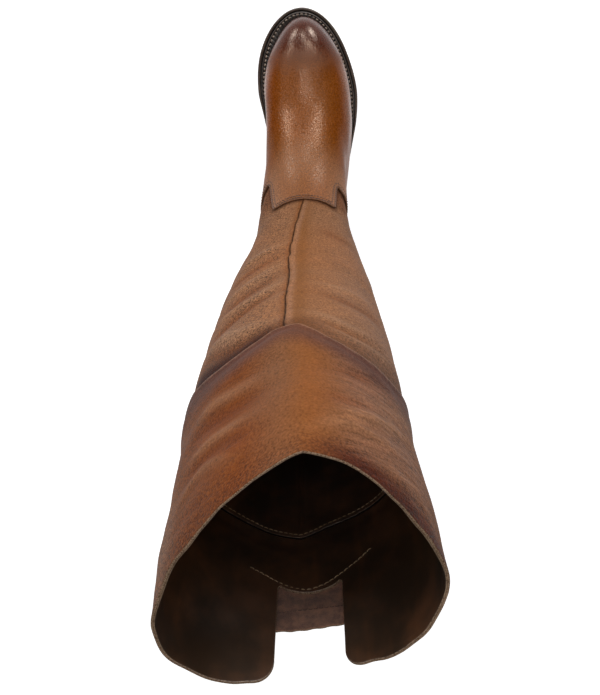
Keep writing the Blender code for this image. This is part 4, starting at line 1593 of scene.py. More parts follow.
@dataclass
class KneePanel:
    """Knee to collar: cut low at the back with a slit, folded along its lower edge."""

    surface: LegSurface
    pitch: float = 1.75
    column_count: int = 276
    thickness: float = 2.1
    edge_thickness: float = 1.5
    lap: float = 1.7
    body_tone: Colour = tone(115, 76, 51)
    rust_tone: Colour = tone(115, 56, 10)
    fold_tone: Colour = tone(125, 75, 36)
    burnish_tone: Colour = tone(88, 56, 46)
    collar_tone: Colour = tone(66, 21, 10)

    def __post_init__(self) -> None:
        """Draws its lower edge and the line of its collar and slit."""
        knots = np.array(KNEE_EDGE)
        turns = np.linspace(1, 0, 700)
        levels = smooth(knots[:, 0], knots[:, 1], turns)
        bands = (1.3, 0.95, 0.6, 0.25, 0.0)
        self.edge = CutLine.from_knots(self.surface, np.stack([turns, levels], axis=1)[:-1], bands=bands)
        self.collar = CutLine.from_knots(self.surface, self._collar_knots(), pitch=0.8)

    def rise(self, depth: Array) -> Array:
        """How far the panel stands out over the shaft that it laps, by depth from its lower edge."""
        return self.lap * (1 - ease(10.0, 34.0, depth))

    def _flap(self, y: float) -> Array:
        """One side of the slit, up from its corner and round the flap."""
        side = 1.0 if y > 0 else -1.0
        top = float(read(RIM, 1, 0.03 if y > 0 else 0.97))
        turn = np.linspace(0, math.pi / 2, 9)
        corner = self.surface.spots_behind(np.array([y + side * FLAP_CORNER]), np.array([496.0]))
        spots_top = np.array([[corner[0, 0], top]])
        z_top = float(self.surface.points(spots_top)[0, 2])
        y_round = y + side * FLAP_CORNER * (1 - np.cos(turn))
        z_round = z_top - FLAP_CORNER * (1 - np.sin(turn))
        low = math.pi / 2 * np.linspace(0, 1, 5)
        y_low = y - side * 2.0 * (1 - np.sin(low))
        z_low = NOTCH_CORNER_Z + 2.0 * (1 - np.cos(low))
        z_side = np.linspace(NOTCH_CORNER_Z + 5.0, z_top - FLAP_CORNER - 1.5, 24)
        y_all = np.concatenate([y_low, np.full(24, y), y_round])
        z_all = np.concatenate([z_low, z_side, z_round])
        return self.surface.spots_behind(y_all, z_all)

    def _collar_knots(self) -> Array:
        """The collar's closed line: slit base, inner flap, rim, outer flap."""
        inner, outer = self._flap(NOTCH_INNER_Y), self._flap(NOTCH_OUTER_Y)[::-1]
        y = np.linspace(NOTCH_OUTER_Y + 3.0, NOTCH_INNER_Y - 3.0, 17)
        middle = (NOTCH_INNER_Y + NOTCH_OUTER_Y) / 2
        half = (NOTCH_INNER_Y - NOTCH_OUTER_Y) / 2
        z = NOTCH_CENTRE_Z - (NOTCH_CENTRE_Z - NOTCH_CORNER_Z) * np.abs((y - middle) / half) ** 1.8
        base = self.surface.spots_behind(y, z)
        first, last = inner[-1], outer[0]
        turns = np.linspace(first[0] % 1.0, last[0] % 1.0, 320)[1:-1]
        levels = smooth(np.array(RIM)[:, 0], np.array(RIM)[:, 1], turns)
        levels += 0.35 * np.sin(turns * 97.0) * np.sin(turns * 41.0 + 1.0)
        start, end = ease(0.0, 0.02, turns - turns[0]), ease(0.0, 0.02, turns[-1] - turns)
        levels = levels * start + first[1] * (1 - start)
        levels = levels * end + last[1] * (1 - end)
        rim = np.stack([turns, levels], axis=1)
        centre = len(base) // 2
        return np.vstack([base[centre:], inner, rim, outer, base[:centre]])

    def build(self) -> Object:
        """Cuts and shapes the panel."""
        crowded = ((0.04, 0.02, 0.6), (0.955, 0.02, 0.6))
        sheet = LeatherSheet(
            self.surface, columns(self.column_count, crowded),
            rows(self.surface, 368.0, COLLAR_LEVEL, self.pitch), [self.edge, self.collar], self.pitch * 0.85,
        )
        shape = self._shape(sheet)
        return sheet.solid("knee_leather", shape, (0.62, 0.4))

    def _shape(self, sheet: LeatherSheet) -> SheetShape:
        """Relief and tones of the panel."""
        spots = sheet.spots
        low, rim = sheet.depths
        level, across = spots[:, 1], self.surface.across(spots)
        places = self.surface.points(spots)
        folds = FOLD_STRENGTH * fold_field(KNEE_FOLDS, level, across)
        calm = ease(0.0, 14.0, low)
        stand = (folds + 0.5 * ripple(places, 21, 58.0)) * calm + 0.12 * ripple(places, 22, 18.0)
        stand += 0.55 * ripple(places, 23, 34.0) * (1 - ease(0.0, 22.0, rim)) * calm
        stand += self.rise(low)
        stand += 0.3 * bell(low - 1.6, 1.5) - 0.25 * bell(low - 6.0, 2.4)
        thickness = self.edge_thickness + (self.thickness - self.edge_thickness) * ease(12.0, 20.0, low)
        thin_front = (1 - ease(40.0, 95.0, np.abs(across))) * (1 - ease(0.0, 10.0, rim))
        thickness = thickness - 0.75 * thin_front
        side = ease(26.0, 80.0, np.abs(across))
        fold = bell(across + 4.0, 13.0)
        inner_side = ease(6.0, 40.0, across) * (1 - 0.5 * ease(60.0, 110.0, across))
        front = 1 - ease(80.0, 130.0, np.abs(across))
        outer_side = ease(10.0, 34.0, -across) * (1 - ease(70.0, 100.0, -across))
        burnish = (1 - ease(9.0, 26.0, low)) * (0.62 + 0.36 * front) * (1 - 0.15 * fold)
        collar = (1 - ease(2.0, 20.0, rim)) * (0.2 + 0.7 * (1 - ease(-28.0, 8.0, across)))
        # Paler and greyer towards the far inner edge, with stronger grain: painted sparkle.
        edge_sparkle = ease(82.0, 112.0, across) * (1 - ease(30.0, 90.0, rim)) * ease(6.0, 20.0, low)
        tint = tinted(
            (1.0, self.body_tone), (inner_side * 0.8, self.rust_tone), (outer_side * 0.5, tone(131, 94, 76)),
            (fold * 0.75, self.fold_tone), (side * 0.3, tone(100, 70, 54)),
            # Darker in the folds' troughs and paler on their ridges: painted shade and painted light.
            (np.clip(-folds, 0, 1) * 0.65, tone(102, 53, 28)),
            (np.clip(folds, 0, 1) * 0.55, tone(140, 99, 71)), (burnish, self.burnish_tone),
            (collar, self.collar_tone), (edge_sparkle * 0.35, tone(150, 118, 98)),
            # Thin light line along the folded lower edge: painted highlight.
            (bell(low - 0.9, 0.5) * 0.55, tone(160, 124, 100)),
        )
        grain = 0.35 + 0.3 * ease(34.0, 95.0, np.abs(across)) + 0.3 * (1 - ease(0.0, 24.0, rim))
        grain = (grain + 0.25 * edge_sparkle) * (1 - 0.3 * fold)
        drawn = ease(8.0, 26.0, -across) * ease(6.0, 18.0, low) + 0.35 * ease(14.0, 30.0, across)
        drawn *= 1 - ease(90.0, 130.0, np.abs(across))
        return SheetShape(stand, thickness, tint, grain, 0.4 + 0.2 * burnish, drawn, (rim < low) * 1.0)


@dataclass
class BackTab:
    """The reinforcing tab outside the slit's base: grain side out, raw along its top."""

    surface: LegSurface
    panel: KneePanel
    half_width: float = 33.0
    centre_y: float = -1.2
    low_z: float = 418.0
    high_z: float = 467.5
    corner: float = 9.0
    clearance: float = 0.25
    thickness: float = 1.7

    def _outline(self) -> Array:
        """Closed outline, seen from behind: rounded below, raw and a little uneven on top."""
        y, z = [], []
        for turn in np.linspace(math.pi, 1.5 * math.pi, 8):
            y.append(-self.half_width + self.corner * (1 + math.cos(turn)))
            z.append(self.low_z + self.corner * (1 + math.sin(turn)))
        for turn in np.linspace(1.5 * math.pi, 2 * math.pi, 8):
            y.append(self.half_width - self.corner * (1 - math.cos(turn)))
            z.append(self.low_z + self.corner * (1 + math.sin(turn)))
        for share in np.linspace(1, -1, 30):
            y.append(share * (self.half_width - 1.0))
            z.append(self.high_z + 0.6 * math.sin(share * 5.0 + 1.0) + 0.3 * math.sin(share * 23.0))
        return self.surface.spots_behind(np.array(y) + self.centre_y, np.array(z))

    def build(self) -> Object:
        """Cuts and shapes the tab."""
        spots = self._outline()[::-1]
        self.line = CutLine.from_knots(self.surface, spots, pitch=0.7)
        reach = (self.half_width + 6.0) / float(self.surface.girth(450.0))
        centre = float(np.mean(unwound(spots[:, 0])))
        sheet = LeatherSheet(
            self.surface, np.linspace(centre - reach, centre + reach, 58),
            rows(self.surface, float(spots[:, 1].min()) - 4.0, float(spots[:, 1].max()) + 4.0, 1.5),
            [self.line], 1.2, wraps=False,
        )
        here = sheet.spots
        low, rim = self.panel.edge.measure(here)[0], self.panel.collar.measure(here)[0]
        places = self.surface.points(here)
        above = 1 - ease(-8.0, 2.0, rim)
        stand = self.panel.rise(low) + self.clearance + self.thickness
        stand += 0.12 * ripple(places, 31, 22.0) - 0.7 * above * (1 + 0.6 * ripple(places, 32, 26.0))
        depth = sheet.depths[0]
        tint = tinted((1.0, tone(118, 72, 46)), ((1 - ease(0.5, 5.0, depth)) * 0.6, tone(70, 42, 30)))
        full = np.ones(len(here))
        shape = SheetShape(stand, self.thickness * full, tint, 0.7 * full, 0.4 * full)
        return sheet.solid("back_tab_leather", shape, (0.45, 0.3))


# ------------------------------------------------------------------ pieces of the sole
class SolePlan:
    """Outlines of the sole's plan, drawn in from its edge, and solids lofted between them."""

    STATIONS = 190
    ACROSS = 17

    def outline(self, inset_at: Callable[[Array], Array], lift: Array | float) -> Array:
        """One closed outline.

        Args:
            inset_at: Distance in from the outsole's edge at places along x.
            lift: Height over the outsole's underside.

        Returns:
            Points from the heel along the inner side to the toe and back.
        """
        back = float(inset_at(np.array(0.0)))
        front = BOOT_LENGTH - float(inset_at(np.array(BOOT_LENGTH)))
        x = stations(back, front, self.STATIONS)
        half = read(OUTSOLE_PLAN, 2, x) - inset_at(x)
        half = half * closing(front - x, *TOE_ROUNDING) * closing(x - back, *HEEL_ROUNDING)
        middle = read(OUTSOLE_PLAN, 1, x)
        z = sole_height(x) + lift
        inner = np.stack([x, middle + half, z], axis=1)
        outer = np.stack([x, middle - half, z], axis=1)
        return np.vstack([inner, outer[-2:0:-1]])

    @staticmethod
    def tube(loops: int, points: int, ring: bool = False) -> list[tuple[int, ...]]:
        """Faces between closed outlines, each to the next."""
        pairs = [(k, (k + 1) % loops) for k in range(loops if ring else loops - 1)]
        steps = [(i, (i + 1) % points) for i in range(points)]
        return [
            (a * points + i, b * points + i, b * points + j, a * points + j)
            for a, b in pairs
            for i, j in steps
        ]

    def cap(self, points: list[Array], first: int, crown: float, turned: bool) -> list[tuple[int, ...]]:
        """Fills an outline with a grid.

        Args:
            points: Blocks of points so far; the grid's own are added.
            first: Index of the outline's first point.
            crown: How high the middle stands over the rim.
            turned: Whether the faces look down.

        Returns:
            The faces.
        """
        total = sum(len(block) for block in points)
        every = np.vstack(points)
        size = 2 * self.STATIONS - 2
        inner = [first + i for i in range(self.STATIONS)]
        outer = [first] + [first + size - i for i in range(1, self.STATIONS - 1)] + [inner[-1]]
        grid = np.empty((self.STATIONS, self.ACROSS), int)
        extra = []
        for i, (a, b) in enumerate(zip(inner, outer)):
            grid[i, 0], grid[i, -1] = a, b
            for k in range(1, self.ACROSS - 1):
                if i in (0, self.STATIONS - 1):
                    grid[i, k] = a
                    continue
                share = k / (self.ACROSS - 1)
                spot = every[a] * (1 - share) + every[b] * share
                reach = min(1.0, np.linalg.norm(every[a] - every[b]) / 40.0)
                spot = spot + (0.0, 0.0, crown * reach * (1 - (2 * share - 1) ** 2) ** 0.8)
                grid[i, k] = total + len(extra)
                extra.append(spot)
        points.append(np.array(extra))
        faces = []
        for i in range(self.STATIONS - 1):
            for k in range(self.ACROSS - 1):
                face = (grid[i, k], grid[i, k + 1], grid[i + 1, k + 1], grid[i + 1, k])
                face = tuple(dict.fromkeys(int(v) for v in face))
                if len(face) > 2:
                    faces.append(face if turned else face[::-1])
        return faces

    def plate(
        self, name: str, profile: Sequence[tuple[Callable[[Array], Array], float]],
        crowns: tuple[float, float],
    ) -> Object:
        """A solid plate lofted from its lowest outline to its highest.

        Args:
            name: The piece's name.
            profile: Inset and lift of each outline.
            crowns: How high the middle of its bottom and of its top stand.

        Returns:
            The object.
        """
        outlines = [self.outline(inset, lift) for inset, lift in profile]
        size = len(outlines[0])
        faces = self.tube(len(outlines), size)
        points = list(outlines)
        faces += self.cap(points, 0, crowns[0], True)
        faces += self.cap(points, size * (len(outlines) - 1), crowns[1], False)
        return facing_out(new_piece(name, np.vstack(points), faces))


def facing_out(piece: Object) -> Object:
    """Turns a closed mesh inside out if its faces look inwards, and sharpens its hard edges."""
    mesh = piece.data
    mesh.calc_loop_triangles()
    points = np.empty(len(mesh.vertices) * 3, np.float32)
    mesh.vertices.foreach_get("co", points)
    corners = np.empty(len(mesh.loop_triangles) * 3, np.int32)
    mesh.loop_triangles.foreach_get("vertices", corners)
    corners = points.reshape(-1, 3)[corners].reshape(-1, 3, 3)
    if np.linalg.det(corners.astype(float)).sum() < 0:
        mesh.flip_normals()
    mesh.set_sharp_from_angle(angle=math.radians(50.0))
    return piece


@dataclass
class Sole:
    """Outsole, welt and insole."""

    plan: SolePlan = field(default_factory=SolePlan)
    round_edge: float = 0.9
    crest: float = 2.5
    welt_edge: float = 3.5
    lap: float = 6.0
    insole_thickness: float = 3.0
    insole_gap: float = 3.1
    pitch: float = 3.8

    def outsole(self) -> Object:
        """The walking sole with its edge rounded and a fine line round it."""
        thick, r = OUTSOLE_THICKNESS, self.round_edge
        line = thick - 1.7
        steps = (
            (r, 0.0), (0.3 * r, 0.28 * r), (0.0, r), (0.0, line - 0.3), (0.28, line), (0.0, line + 0.3),
            (0.0, thick - 0.7), (0.2, thick - 0.22), (0.75, thick),
        )
        profile = [(lambda x, inset=inset: inset + 0 * x, lift) for inset, lift in steps]
        for share, drop in ((0.72, 0.0), (0.88, 0.25), (0.98, 1.4), (1.3, 1.5), (1.45, 0.2), (1.55, 0.0)):
            profile.append((lambda x, share=share: share * self._narrowed(x, self.crest), thick - drop))
        piece = self.plan.plate("outsole_leather", profile, (0.0, 0.0))
        # Darkens the fine line and the upper wall, and the stitch channel as painted shade.
        self._gloom(piece, (4, 5, 6, 7, 10, 11, 12, 13, 14), (0.3, 0.5, 0.75, 0.6, 0.5, 1.0, 1.0, 1.0, 0.8))
        return piece

    @staticmethod
    def _narrowed(x: Array, inset: float) -> Array:
        """An inset from the edge that shrinks where the welt is narrow."""
        return np.minimum(inset, inset / 8.4 * read(WELT_SHOW, 1, x))

    @staticmethod
    def _gloom(piece: Object, loops: Sequence[int], shares: Sequence[float], label: str = "gloom") -> None:
        """Stores a number for some of a piece's outlines: how much they are darkened (painted shade in
        channels and gaps), or how deeply notched.
        """
        values = np.zeros(len(piece.data.vertices))
        size = 2 * SolePlan.STATIONS - 2
        for loop, share in zip(loops, shares):
            values[loop * size : (loop + 1) * size] = share
        store(piece, label, values)

    def groove_inset(self, x: Array) -> Array:
        """Where the welt's stitches run."""
        edge = self._narrowed(x, self.welt_edge)
        return edge + 0.42 * (read(WELT_SHOW, 1, x) - edge)

    def welt(self) -> Object:
        """The welt: a strip with its edge rounded and a channel for its stitches."""
        low, high = OUTSOLE_THICKNESS + 0.05, OUTSOLE_THICKNESS + WELT_THICKNESS

        def beside(offset: float) -> Callable[[Array], Array]:
            return lambda x: self.groove_inset(x) + offset * np.clip(self.groove_inset(x) / 6.0, 0.3, 1.0)

        def rim(offset: float) -> Callable[[Array], Array]:
            return lambda x: self._narrowed(x, self.welt_edge) + offset

        profile = [
            (rim(1.1), low), (rim(0.3), low + 0.5), (rim(0.0), low + 1.1), (rim(0.0), high - 0.8),
            (rim(0.18), high - 0.25), (rim(0.6), high), (beside(-0.75), high), (beside(-0.42), high - 0.32),
            (beside(0.0), high - 0.42), (beside(0.42), high - 0.32), (beside(0.75), high),
            (lambda x: read(WELT_SHOW, 1, x) + 0.4, high), (lambda x: read(WELT_SHOW, 1, x) + self.lap, high),
            (lambda x: read(WELT_SHOW, 1, x) + self.lap, low),
        ]
        outlines = [self.plan.outline(inset, lift) for inset, lift in profile]
        faces = self.plan.tube(len(outlines), len(outlines[0]), ring=True)
        piece = facing_out(new_piece("welt_leather", np.vstack(outlines), faces))
        # Darkens the welt as painted shade: under its outer edge, in its stitch channel and where the upper
        # meets it.
        self._gloom(piece, (0, 1, 2, 7, 8, 9, 11, 12), (1.0, 0.9, 0.5, 0.8, 0.9, 0.8, 0.9, 1.0))
        self._gloom(piece, (5, 6, 7, 8, 9, 10, 11), (0.5, 1.0, 1.0, 1.0, 1.0, 1.0, 0.6), "notched")
        walks = [self._walk(side) for side in self.stitch_paths(0.0)]
        walk = np.concatenate([walks[0][::-1], walks[1][1:-1]])
        store(piece, "walk", np.tile(walk, len(outlines)))
        return piece

    def insole(self) -> Object:
        """The padded insole inside the foot."""
        base = OUTSOLE_THICKNESS + WELT_THICKNESS + 0.6
        top = base + self.insole_thickness
        keyed = OUTSOLE_THICKNESS + 0.3

        def inset(extra: float) -> Callable[[Array], Array]:
            return lambda x: read(WELT_SHOW, 1, x) + extra

        profile = [
            (inset(self.lap + 0.9), keyed), (inset(self.lap + 0.9), base), (inset(self.insole_gap), base),
            (inset(self.insole_gap), top - 0.8), (inset(self.insole_gap + 0.3), top - 0.2),
            (inset(self.insole_gap + 1.0), top),
        ]
        return self.plan.plate("insole_leather", profile, (0.0, 0.9))

    def stitch_paths(self, back: float = HEEL_BREAST + 8.0) -> list[Array]:
        """The welt's stitches, from the toe back along the inner and the outer side."""
        lift = OUTSOLE_THICKNESS + WELT_THICKNESS - 0.3
        outline = self.plan.outline(self.groove_inset, lift)
        half = SolePlan.STATIONS
        sides = (outline[half - 1 :: -1], np.vstack([outline[half - 1 :], outline[:1]]))
        return [side[side[:, 0] >= min(back, side[:, 0].max())] if back else side for side in sides]

    def _walk(self, side: Array) -> Array:
        """How many stitches lie between the toe and each point of one side."""
        run = np.concatenate([[0], np.cumsum(np.linalg.norm(np.diff(side, axis=0), axis=1))])
        sewn = run[side[:, 0] >= HEEL_BREAST + 8.0].max()
        return run * int(sewn / self.pitch) / sewn


@dataclass
class Heel:
    """Stacked leather lifts on a rubber top piece."""

    top_piece: float = 6.0
    lift_count: int = 3
    points: int = 57
    hollow: float = 5.0
    taper: float = 2.0
    bevel: float = 0.35

    def _outline(self, inset: float, z: float) -> Array:
        """Outline of one layer: round back, straight sides, hollow breast."""
        half = HEEL_HALF_WIDTH - inset
        y = half * np.sin(np.linspace(-math.pi / 2, math.pi / 2, self.points))
        length, power = HEEL_ROUNDING
        share = np.clip(np.abs(y) / half, 0, 1)
        back_x = inset + length * (1 - (1 - share**power) ** (1 / power))
        front_x = HEEL_BREAST - self.hollow * (1 - share**2)
        back = np.stack([back_x, y, np.full_like(y, z)], axis=1)
        front = np.stack([front_x, y, np.full_like(y, z)], axis=1)
        return np.vstack([back, front[::-1]])

    def _layer(self, name: str, low: float, high: float, uneven: float) -> Object:
        """One layer with worn edges."""
        def inset(z: float) -> float:
            return WELT_SETBACK + self.taper * (1 - z / HEEL_HEIGHT) + uneven

        b = self.bevel
        lower = ((b, low), (0.12 * b, low + 0.4 * b), (0.0, low + b))
        steps = (*lower, (0.0, high - b), (0.12 * b, high - 0.4 * b), (b, high))
        outlines = [self._outline(inset(z) + extra, z) for extra, z in steps]
        size = len(outlines[0])
        faces = SolePlan.tube(len(outlines), size)
        for first, turned in ((0, True), (size * (len(outlines) - 1), False)):
            for i in range(size // 2 - 1):
                face = (first + i, first + i + 1, first + size - i - 2, first + size - i - 1)
                faces.append(face if turned else face[::-1])
        return facing_out(new_piece(name, np.vstack(outlines), faces))

    def build(self) -> list[tuple[str, Object]]:
        """Builds the layers from the floor up, each with the node that it stands for."""
        made = [("heel_top_piece", self._layer("top_piece_rubber", 0.0, self.top_piece, 0.0))]
        pitch = (HEEL_HEIGHT + 0.28 - self.top_piece) / self.lift_count
        for number in range(self.lift_count):
            low = self.top_piece + number * pitch
            layer = self._layer(f"lift_leather_{number + 1}", low, low + pitch, (0.12, -0.04, 0.08)[number])
            made.append((f"heel_lift_{number + 1}", layer))
        return made


# ------------------------------------------------------------------ stitches
class StitchTree:
    """Geometry nodes that sew a row of arched stitches along a path."""

    INPUTS = (
        ("Pitch", "NodeSocketFloat", 0.003), ("Stitch length", "NodeSocketFloat", 0.002),
        ("Thread", "NodeSocketFloat", 0.0005), ("Unevenness", "NodeSocketFloat", 0.08),
        ("Seed", "NodeSocketInt", 1), ("Finish", "NodeSocketMaterial", None),
    )

    def __init__(self) -> None:
        """Builds the tree."""
        self.tree = bpy.data.node_groups.new("stitch_row", "GeometryNodeTree")
        face = self.tree.interface
        face.new_socket("Path", in_out="INPUT", socket_type="NodeSocketGeometry")
        self.sockets: dict[str, str] = {}
        for label, kind, default in self.INPUTS:
            socket = face.new_socket(label, in_out="INPUT", socket_type=kind)
            if default is not None:
                socket.default_value = default
            self.sockets[label] = socket.identifier
        face.new_socket("Stitches", in_out="OUTPUT", socket_type="NodeSocketGeometry")
        self._wire()

    def _add(self, kind: str, settings: dict[str, object] | None = None, values: dict | None = None) -> Node:
        """Adds a node, with its settings and what its sockets hold."""
        node = self.tree.nodes.new(kind)
        for key, value in (settings or {}).items():
            setattr(node, key, value)
        for key, value in (values or {}).items():
            if isinstance(value, Socket):
                self.tree.links.new(value, node.inputs[key])
            else:
                node.inputs[key].default_value = value
        return node

    def _times(self, first: Socket, second: Socket | float) -> Socket:
        """Product of two numbers."""
        return self._add("ShaderNodeMath", {"operation": "MULTIPLY"}, {0: first, 1: second}).outputs[0]

    def _point(self, x: Socket | float, z: Socket | float) -> Socket:
        """A point in the stitch's own plane."""
        return self._add("ShaderNodeCombineXYZ", values={"X": x, "Z": z}).outputs[0]

    def _wire(self) -> None:
        """Lays out one stitch, turns copies of it along the path and makes them one mesh."""
        given = self._add("NodeGroupInput").outputs
        length, thread = given["Stitch length"], given["Thread"]
        arch = self._add(
            "GeometryNodeCurveQuadraticBezier",
            values={
                "Resolution": 5, "Start": self._point(self._times(length, -0.5), self._times(thread, -0.75)),
                "Middle": self._point(0.0, self._times(thread, 1.3)),
                "End": self._point(self._times(length, 0.5), self._times(thread, -0.75)),
            },
        )
        round_section = self._add(
            "GeometryNodeCurvePrimitiveCircle", values={"Resolution": 7, "Radius": self._times(thread, 0.5)}
        )
        body = self._add(
            "GeometryNodeCurveToMesh",
            values={"Curve": arch.outputs[0], "Profile Curve": round_section.outputs[0], "Fill Caps": True},
        )
        soft = self._add("GeometryNodeSetShadeSmooth", values={"Geometry": body.outputs[0]})
        line = self._add("GeometryNodeMeshToCurve", values={"Mesh": given["Path"]})
        row = self._add(
            "GeometryNodeResampleCurve", {"mode": "LENGTH"},
            {"Curve": line.outputs[0], "Length": given["Pitch"]},
        )
        seed = given["Seed"]
        drift = self._add(
            "FunctionNodeRandomValue", {"data_type": "FLOAT_VECTOR"},
            {0: (-1.0, -1.0, -1.0), 1: (1.0, 1.0, 1.0), "Seed": seed},
        )
        scaled = self._add(
            "ShaderNodeVectorMath", {"operation": "SCALE"},
            {0: drift.outputs[0], "Scale": given["Unevenness"]},
        )
        ahead = self._add(
            "ShaderNodeVectorMath", {"operation": "ADD"},
            {0: self._add("GeometryNodeInputTangent").outputs[0], 1: scaled.outputs[0]},
        )
        along = self._add("FunctionNodeAlignRotationToVector", {"axis": "X"}, {"Vector": ahead.outputs[0]})
        up = self._add("GeometryNodeInputNamedAttribute", {"data_type": "FLOAT_VECTOR"}, {"Name": "up"})
        upright = self._add(
            "FunctionNodeAlignRotationToVector", {"axis": "Z", "pivot_axis": "X"},
            {"Rotation": along.outputs[0], "Vector": up.outputs[0]},
        )
        size = self._add("FunctionNodeRandomValue", {"data_type": "FLOAT"}, {2: 0.9, 3: 1.06, "Seed": seed})
        copies = self._add(
            "GeometryNodeInstanceOnPoints",
            values={
                "Points": row.outputs[0], "Instance": soft.outputs[0], "Rotation": upright.outputs[0],
                "Scale": size.outputs[1],
            },
        )
        real = self._add("GeometryNodeRealizeInstances", values={"Geometry": copies.outputs[0]})
        done = self._add(
            "GeometryNodeSetMaterial", values={"Geometry": real.outputs[0], "Material": given["Finish"]}
        )
        self._add("NodeGroupOutput", values={0: done.outputs[0]})

    def sew(self, name: str, places: Array, upward: Array, looped: bool, **sizes: object) -> Object:
        """Sews one row.

        Args:
            name: The piece's name.
            places: The path, in millimetres.
            upward: The way up from the leather at each of its points.
            looped: Whether the path closes on itself.
            **sizes: The tree's inputs by name, with underscores for spaces.

        Returns:
            The row as a plain mesh object.
        """
        count = len(places)
        sides = [(i, i + 1) for i in range(count - 1)] + ([(count - 1, 0)] if looped else [])
        mesh = bpy.data.meshes.new(name + "_path")
        mesh.from_pydata(place(places).tolist(), sides, [])
        path = bpy.data.objects.new(name + "_path", mesh)
        bpy.context.scene.collection.objects.link(path)
        store(path, "up", upward)
        modifier = path.modifiers.new("row", "NODES")
        modifier.node_group = self.tree
        for label, value in sizes.items():
            modifier[self.sockets[label.replace("_", " ").capitalize()]] = value
        graph = bpy.context.evaluated_depsgraph_get()
        made = bpy.data.meshes.new_from_object(path.evaluated_get(graph))
        made.name = name
        bpy.data.objects.remove(path)
        bpy.data.meshes.remove(mesh)
        piece = bpy.data.objects.new(name, made)
        bpy.context.scene.collection.objects.link(piece)
        return piece


class ThreadTone(Enum):
    """Colours of thread."""

    DARK = tone(52, 30, 22)
    PALE = tone(166, 146, 128)
    TAN = tone(168, 138, 104)
    BROWN = tone(96, 60, 38)


@dataclass
class Stitching:
    """All the boot's rows of stitches."""

    surface: LegSurface
    foot: FootLeather
    shaft: LowerShaft
    panel: KneePanel
    tab: BackTab
    sole: Sole

    def __post_init__(self) -> None:
        """Builds the tree and the threads."""
        self.tree = StitchTree()
        self.threads = {
            item: WaxedThread(f"thread_{item.name.lower()}", item.value).make() for item in ThreadTone
        }

    def _row(
        self, name: str, spots: Array, height: Array | float, thread: ThreadTone, pitch: float, width: float,
        seed: int, looped: bool = True, inside: bool = False,
    ) -> None:
        """Sews a row on the leg at a height over its surface."""
        normal = self.surface.outwards(spots)
        places = self.surface.points(spots) + normal * np.broadcast_to(height, len(spots))[:, None]
        self._sew(name, places, -normal if inside else normal, thread, pitch, width, seed, looped)

    def _sew(
        self, name: str, places: Array, upward: Array, thread: ThreadTone, pitch: float, width: float,
        seed: int, looped: bool, share: float = 0.8,
    ) -> None:
        """Sews a row, each stitch a share of its pitch long, and attaches it."""
        piece = self.tree.sew(
            name, places, upward, looped, pitch=pitch / 1000, stitch_length=pitch * share / 1000,
            thread=width / 1000, seed=seed, finish=self.threads[thread],
        )
        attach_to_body(piece, "root")
        LOG.info("%s: %d faces", name, len(piece.data.polygons))

    def build(self) -> None:
        """Sews every row."""
        for order, (label, spots) in enumerate(self.foot.stitch_paths().items()):
            self._row(f"foot_stitches_{label}", spots, 0.02, ThreadTone.DARK, 2.6, 0.55, 3 + order)
        for label, path in zip(("inner", "outer"), self.sole.stitch_paths()):
            up = np.tile((0.0, 0.0, 1.0), (len(path), 1))
            self._sew(
                f"welt_stitches_{label}", path, up, ThreadTone.PALE, self.sole.pitch, 1.0, 7, False,
                share=0.55,
            )
        inner = self.panel.edge.inset(4.0)
        under = -self.shaft.thickness - 0.1
        self._row("knee_lining_stitches", inner, under, ThreadTone.TAN, 3.4, 0.55, 10, inside=True)
        seam = np.array(TAB_SEAM)
        share = np.linspace(0, len(seam) - 1, 60)
        y = np.interp(share, np.arange(len(seam)), seam[:, 0])
        z = smooth(np.arange(len(seam)), seam[:, 1], share)
        spots = self.surface.spots_behind(y, z)
        under = self.panel.rise(self.panel.edge.measure(spots)[0]) - self.panel.thickness - 0.1
        self._row("tab_lining_stitches", spots, under, ThreadTone.TAN, 3.4, 0.55, 12, False, inside=True)
        line = self.tab.line.inset(2.6)
        kept = line[self.surface.points(line)[:, 2] < self.tab.high_z - 12.0]
        first = int(np.argmax(np.linalg.norm(np.diff(self.surface.points(kept), axis=0), axis=1))) + 1
        kept = np.roll(kept, -first, axis=0)
        height = self.panel.rise(self.panel.edge.measure(kept)[0])
        height = height + self.tab.clearance + self.tab.thickness + 0.02
        self._row("tab_stitches", kept, height, ThreadTone.BROWN, 3.0, 0.5, 13, False)


# ------------------------------------------------------------------ studio
WHITE: Colour = (1.0, 1.0, 1.0)
WARM: Colour = (1.0, 0.94, 0.88)


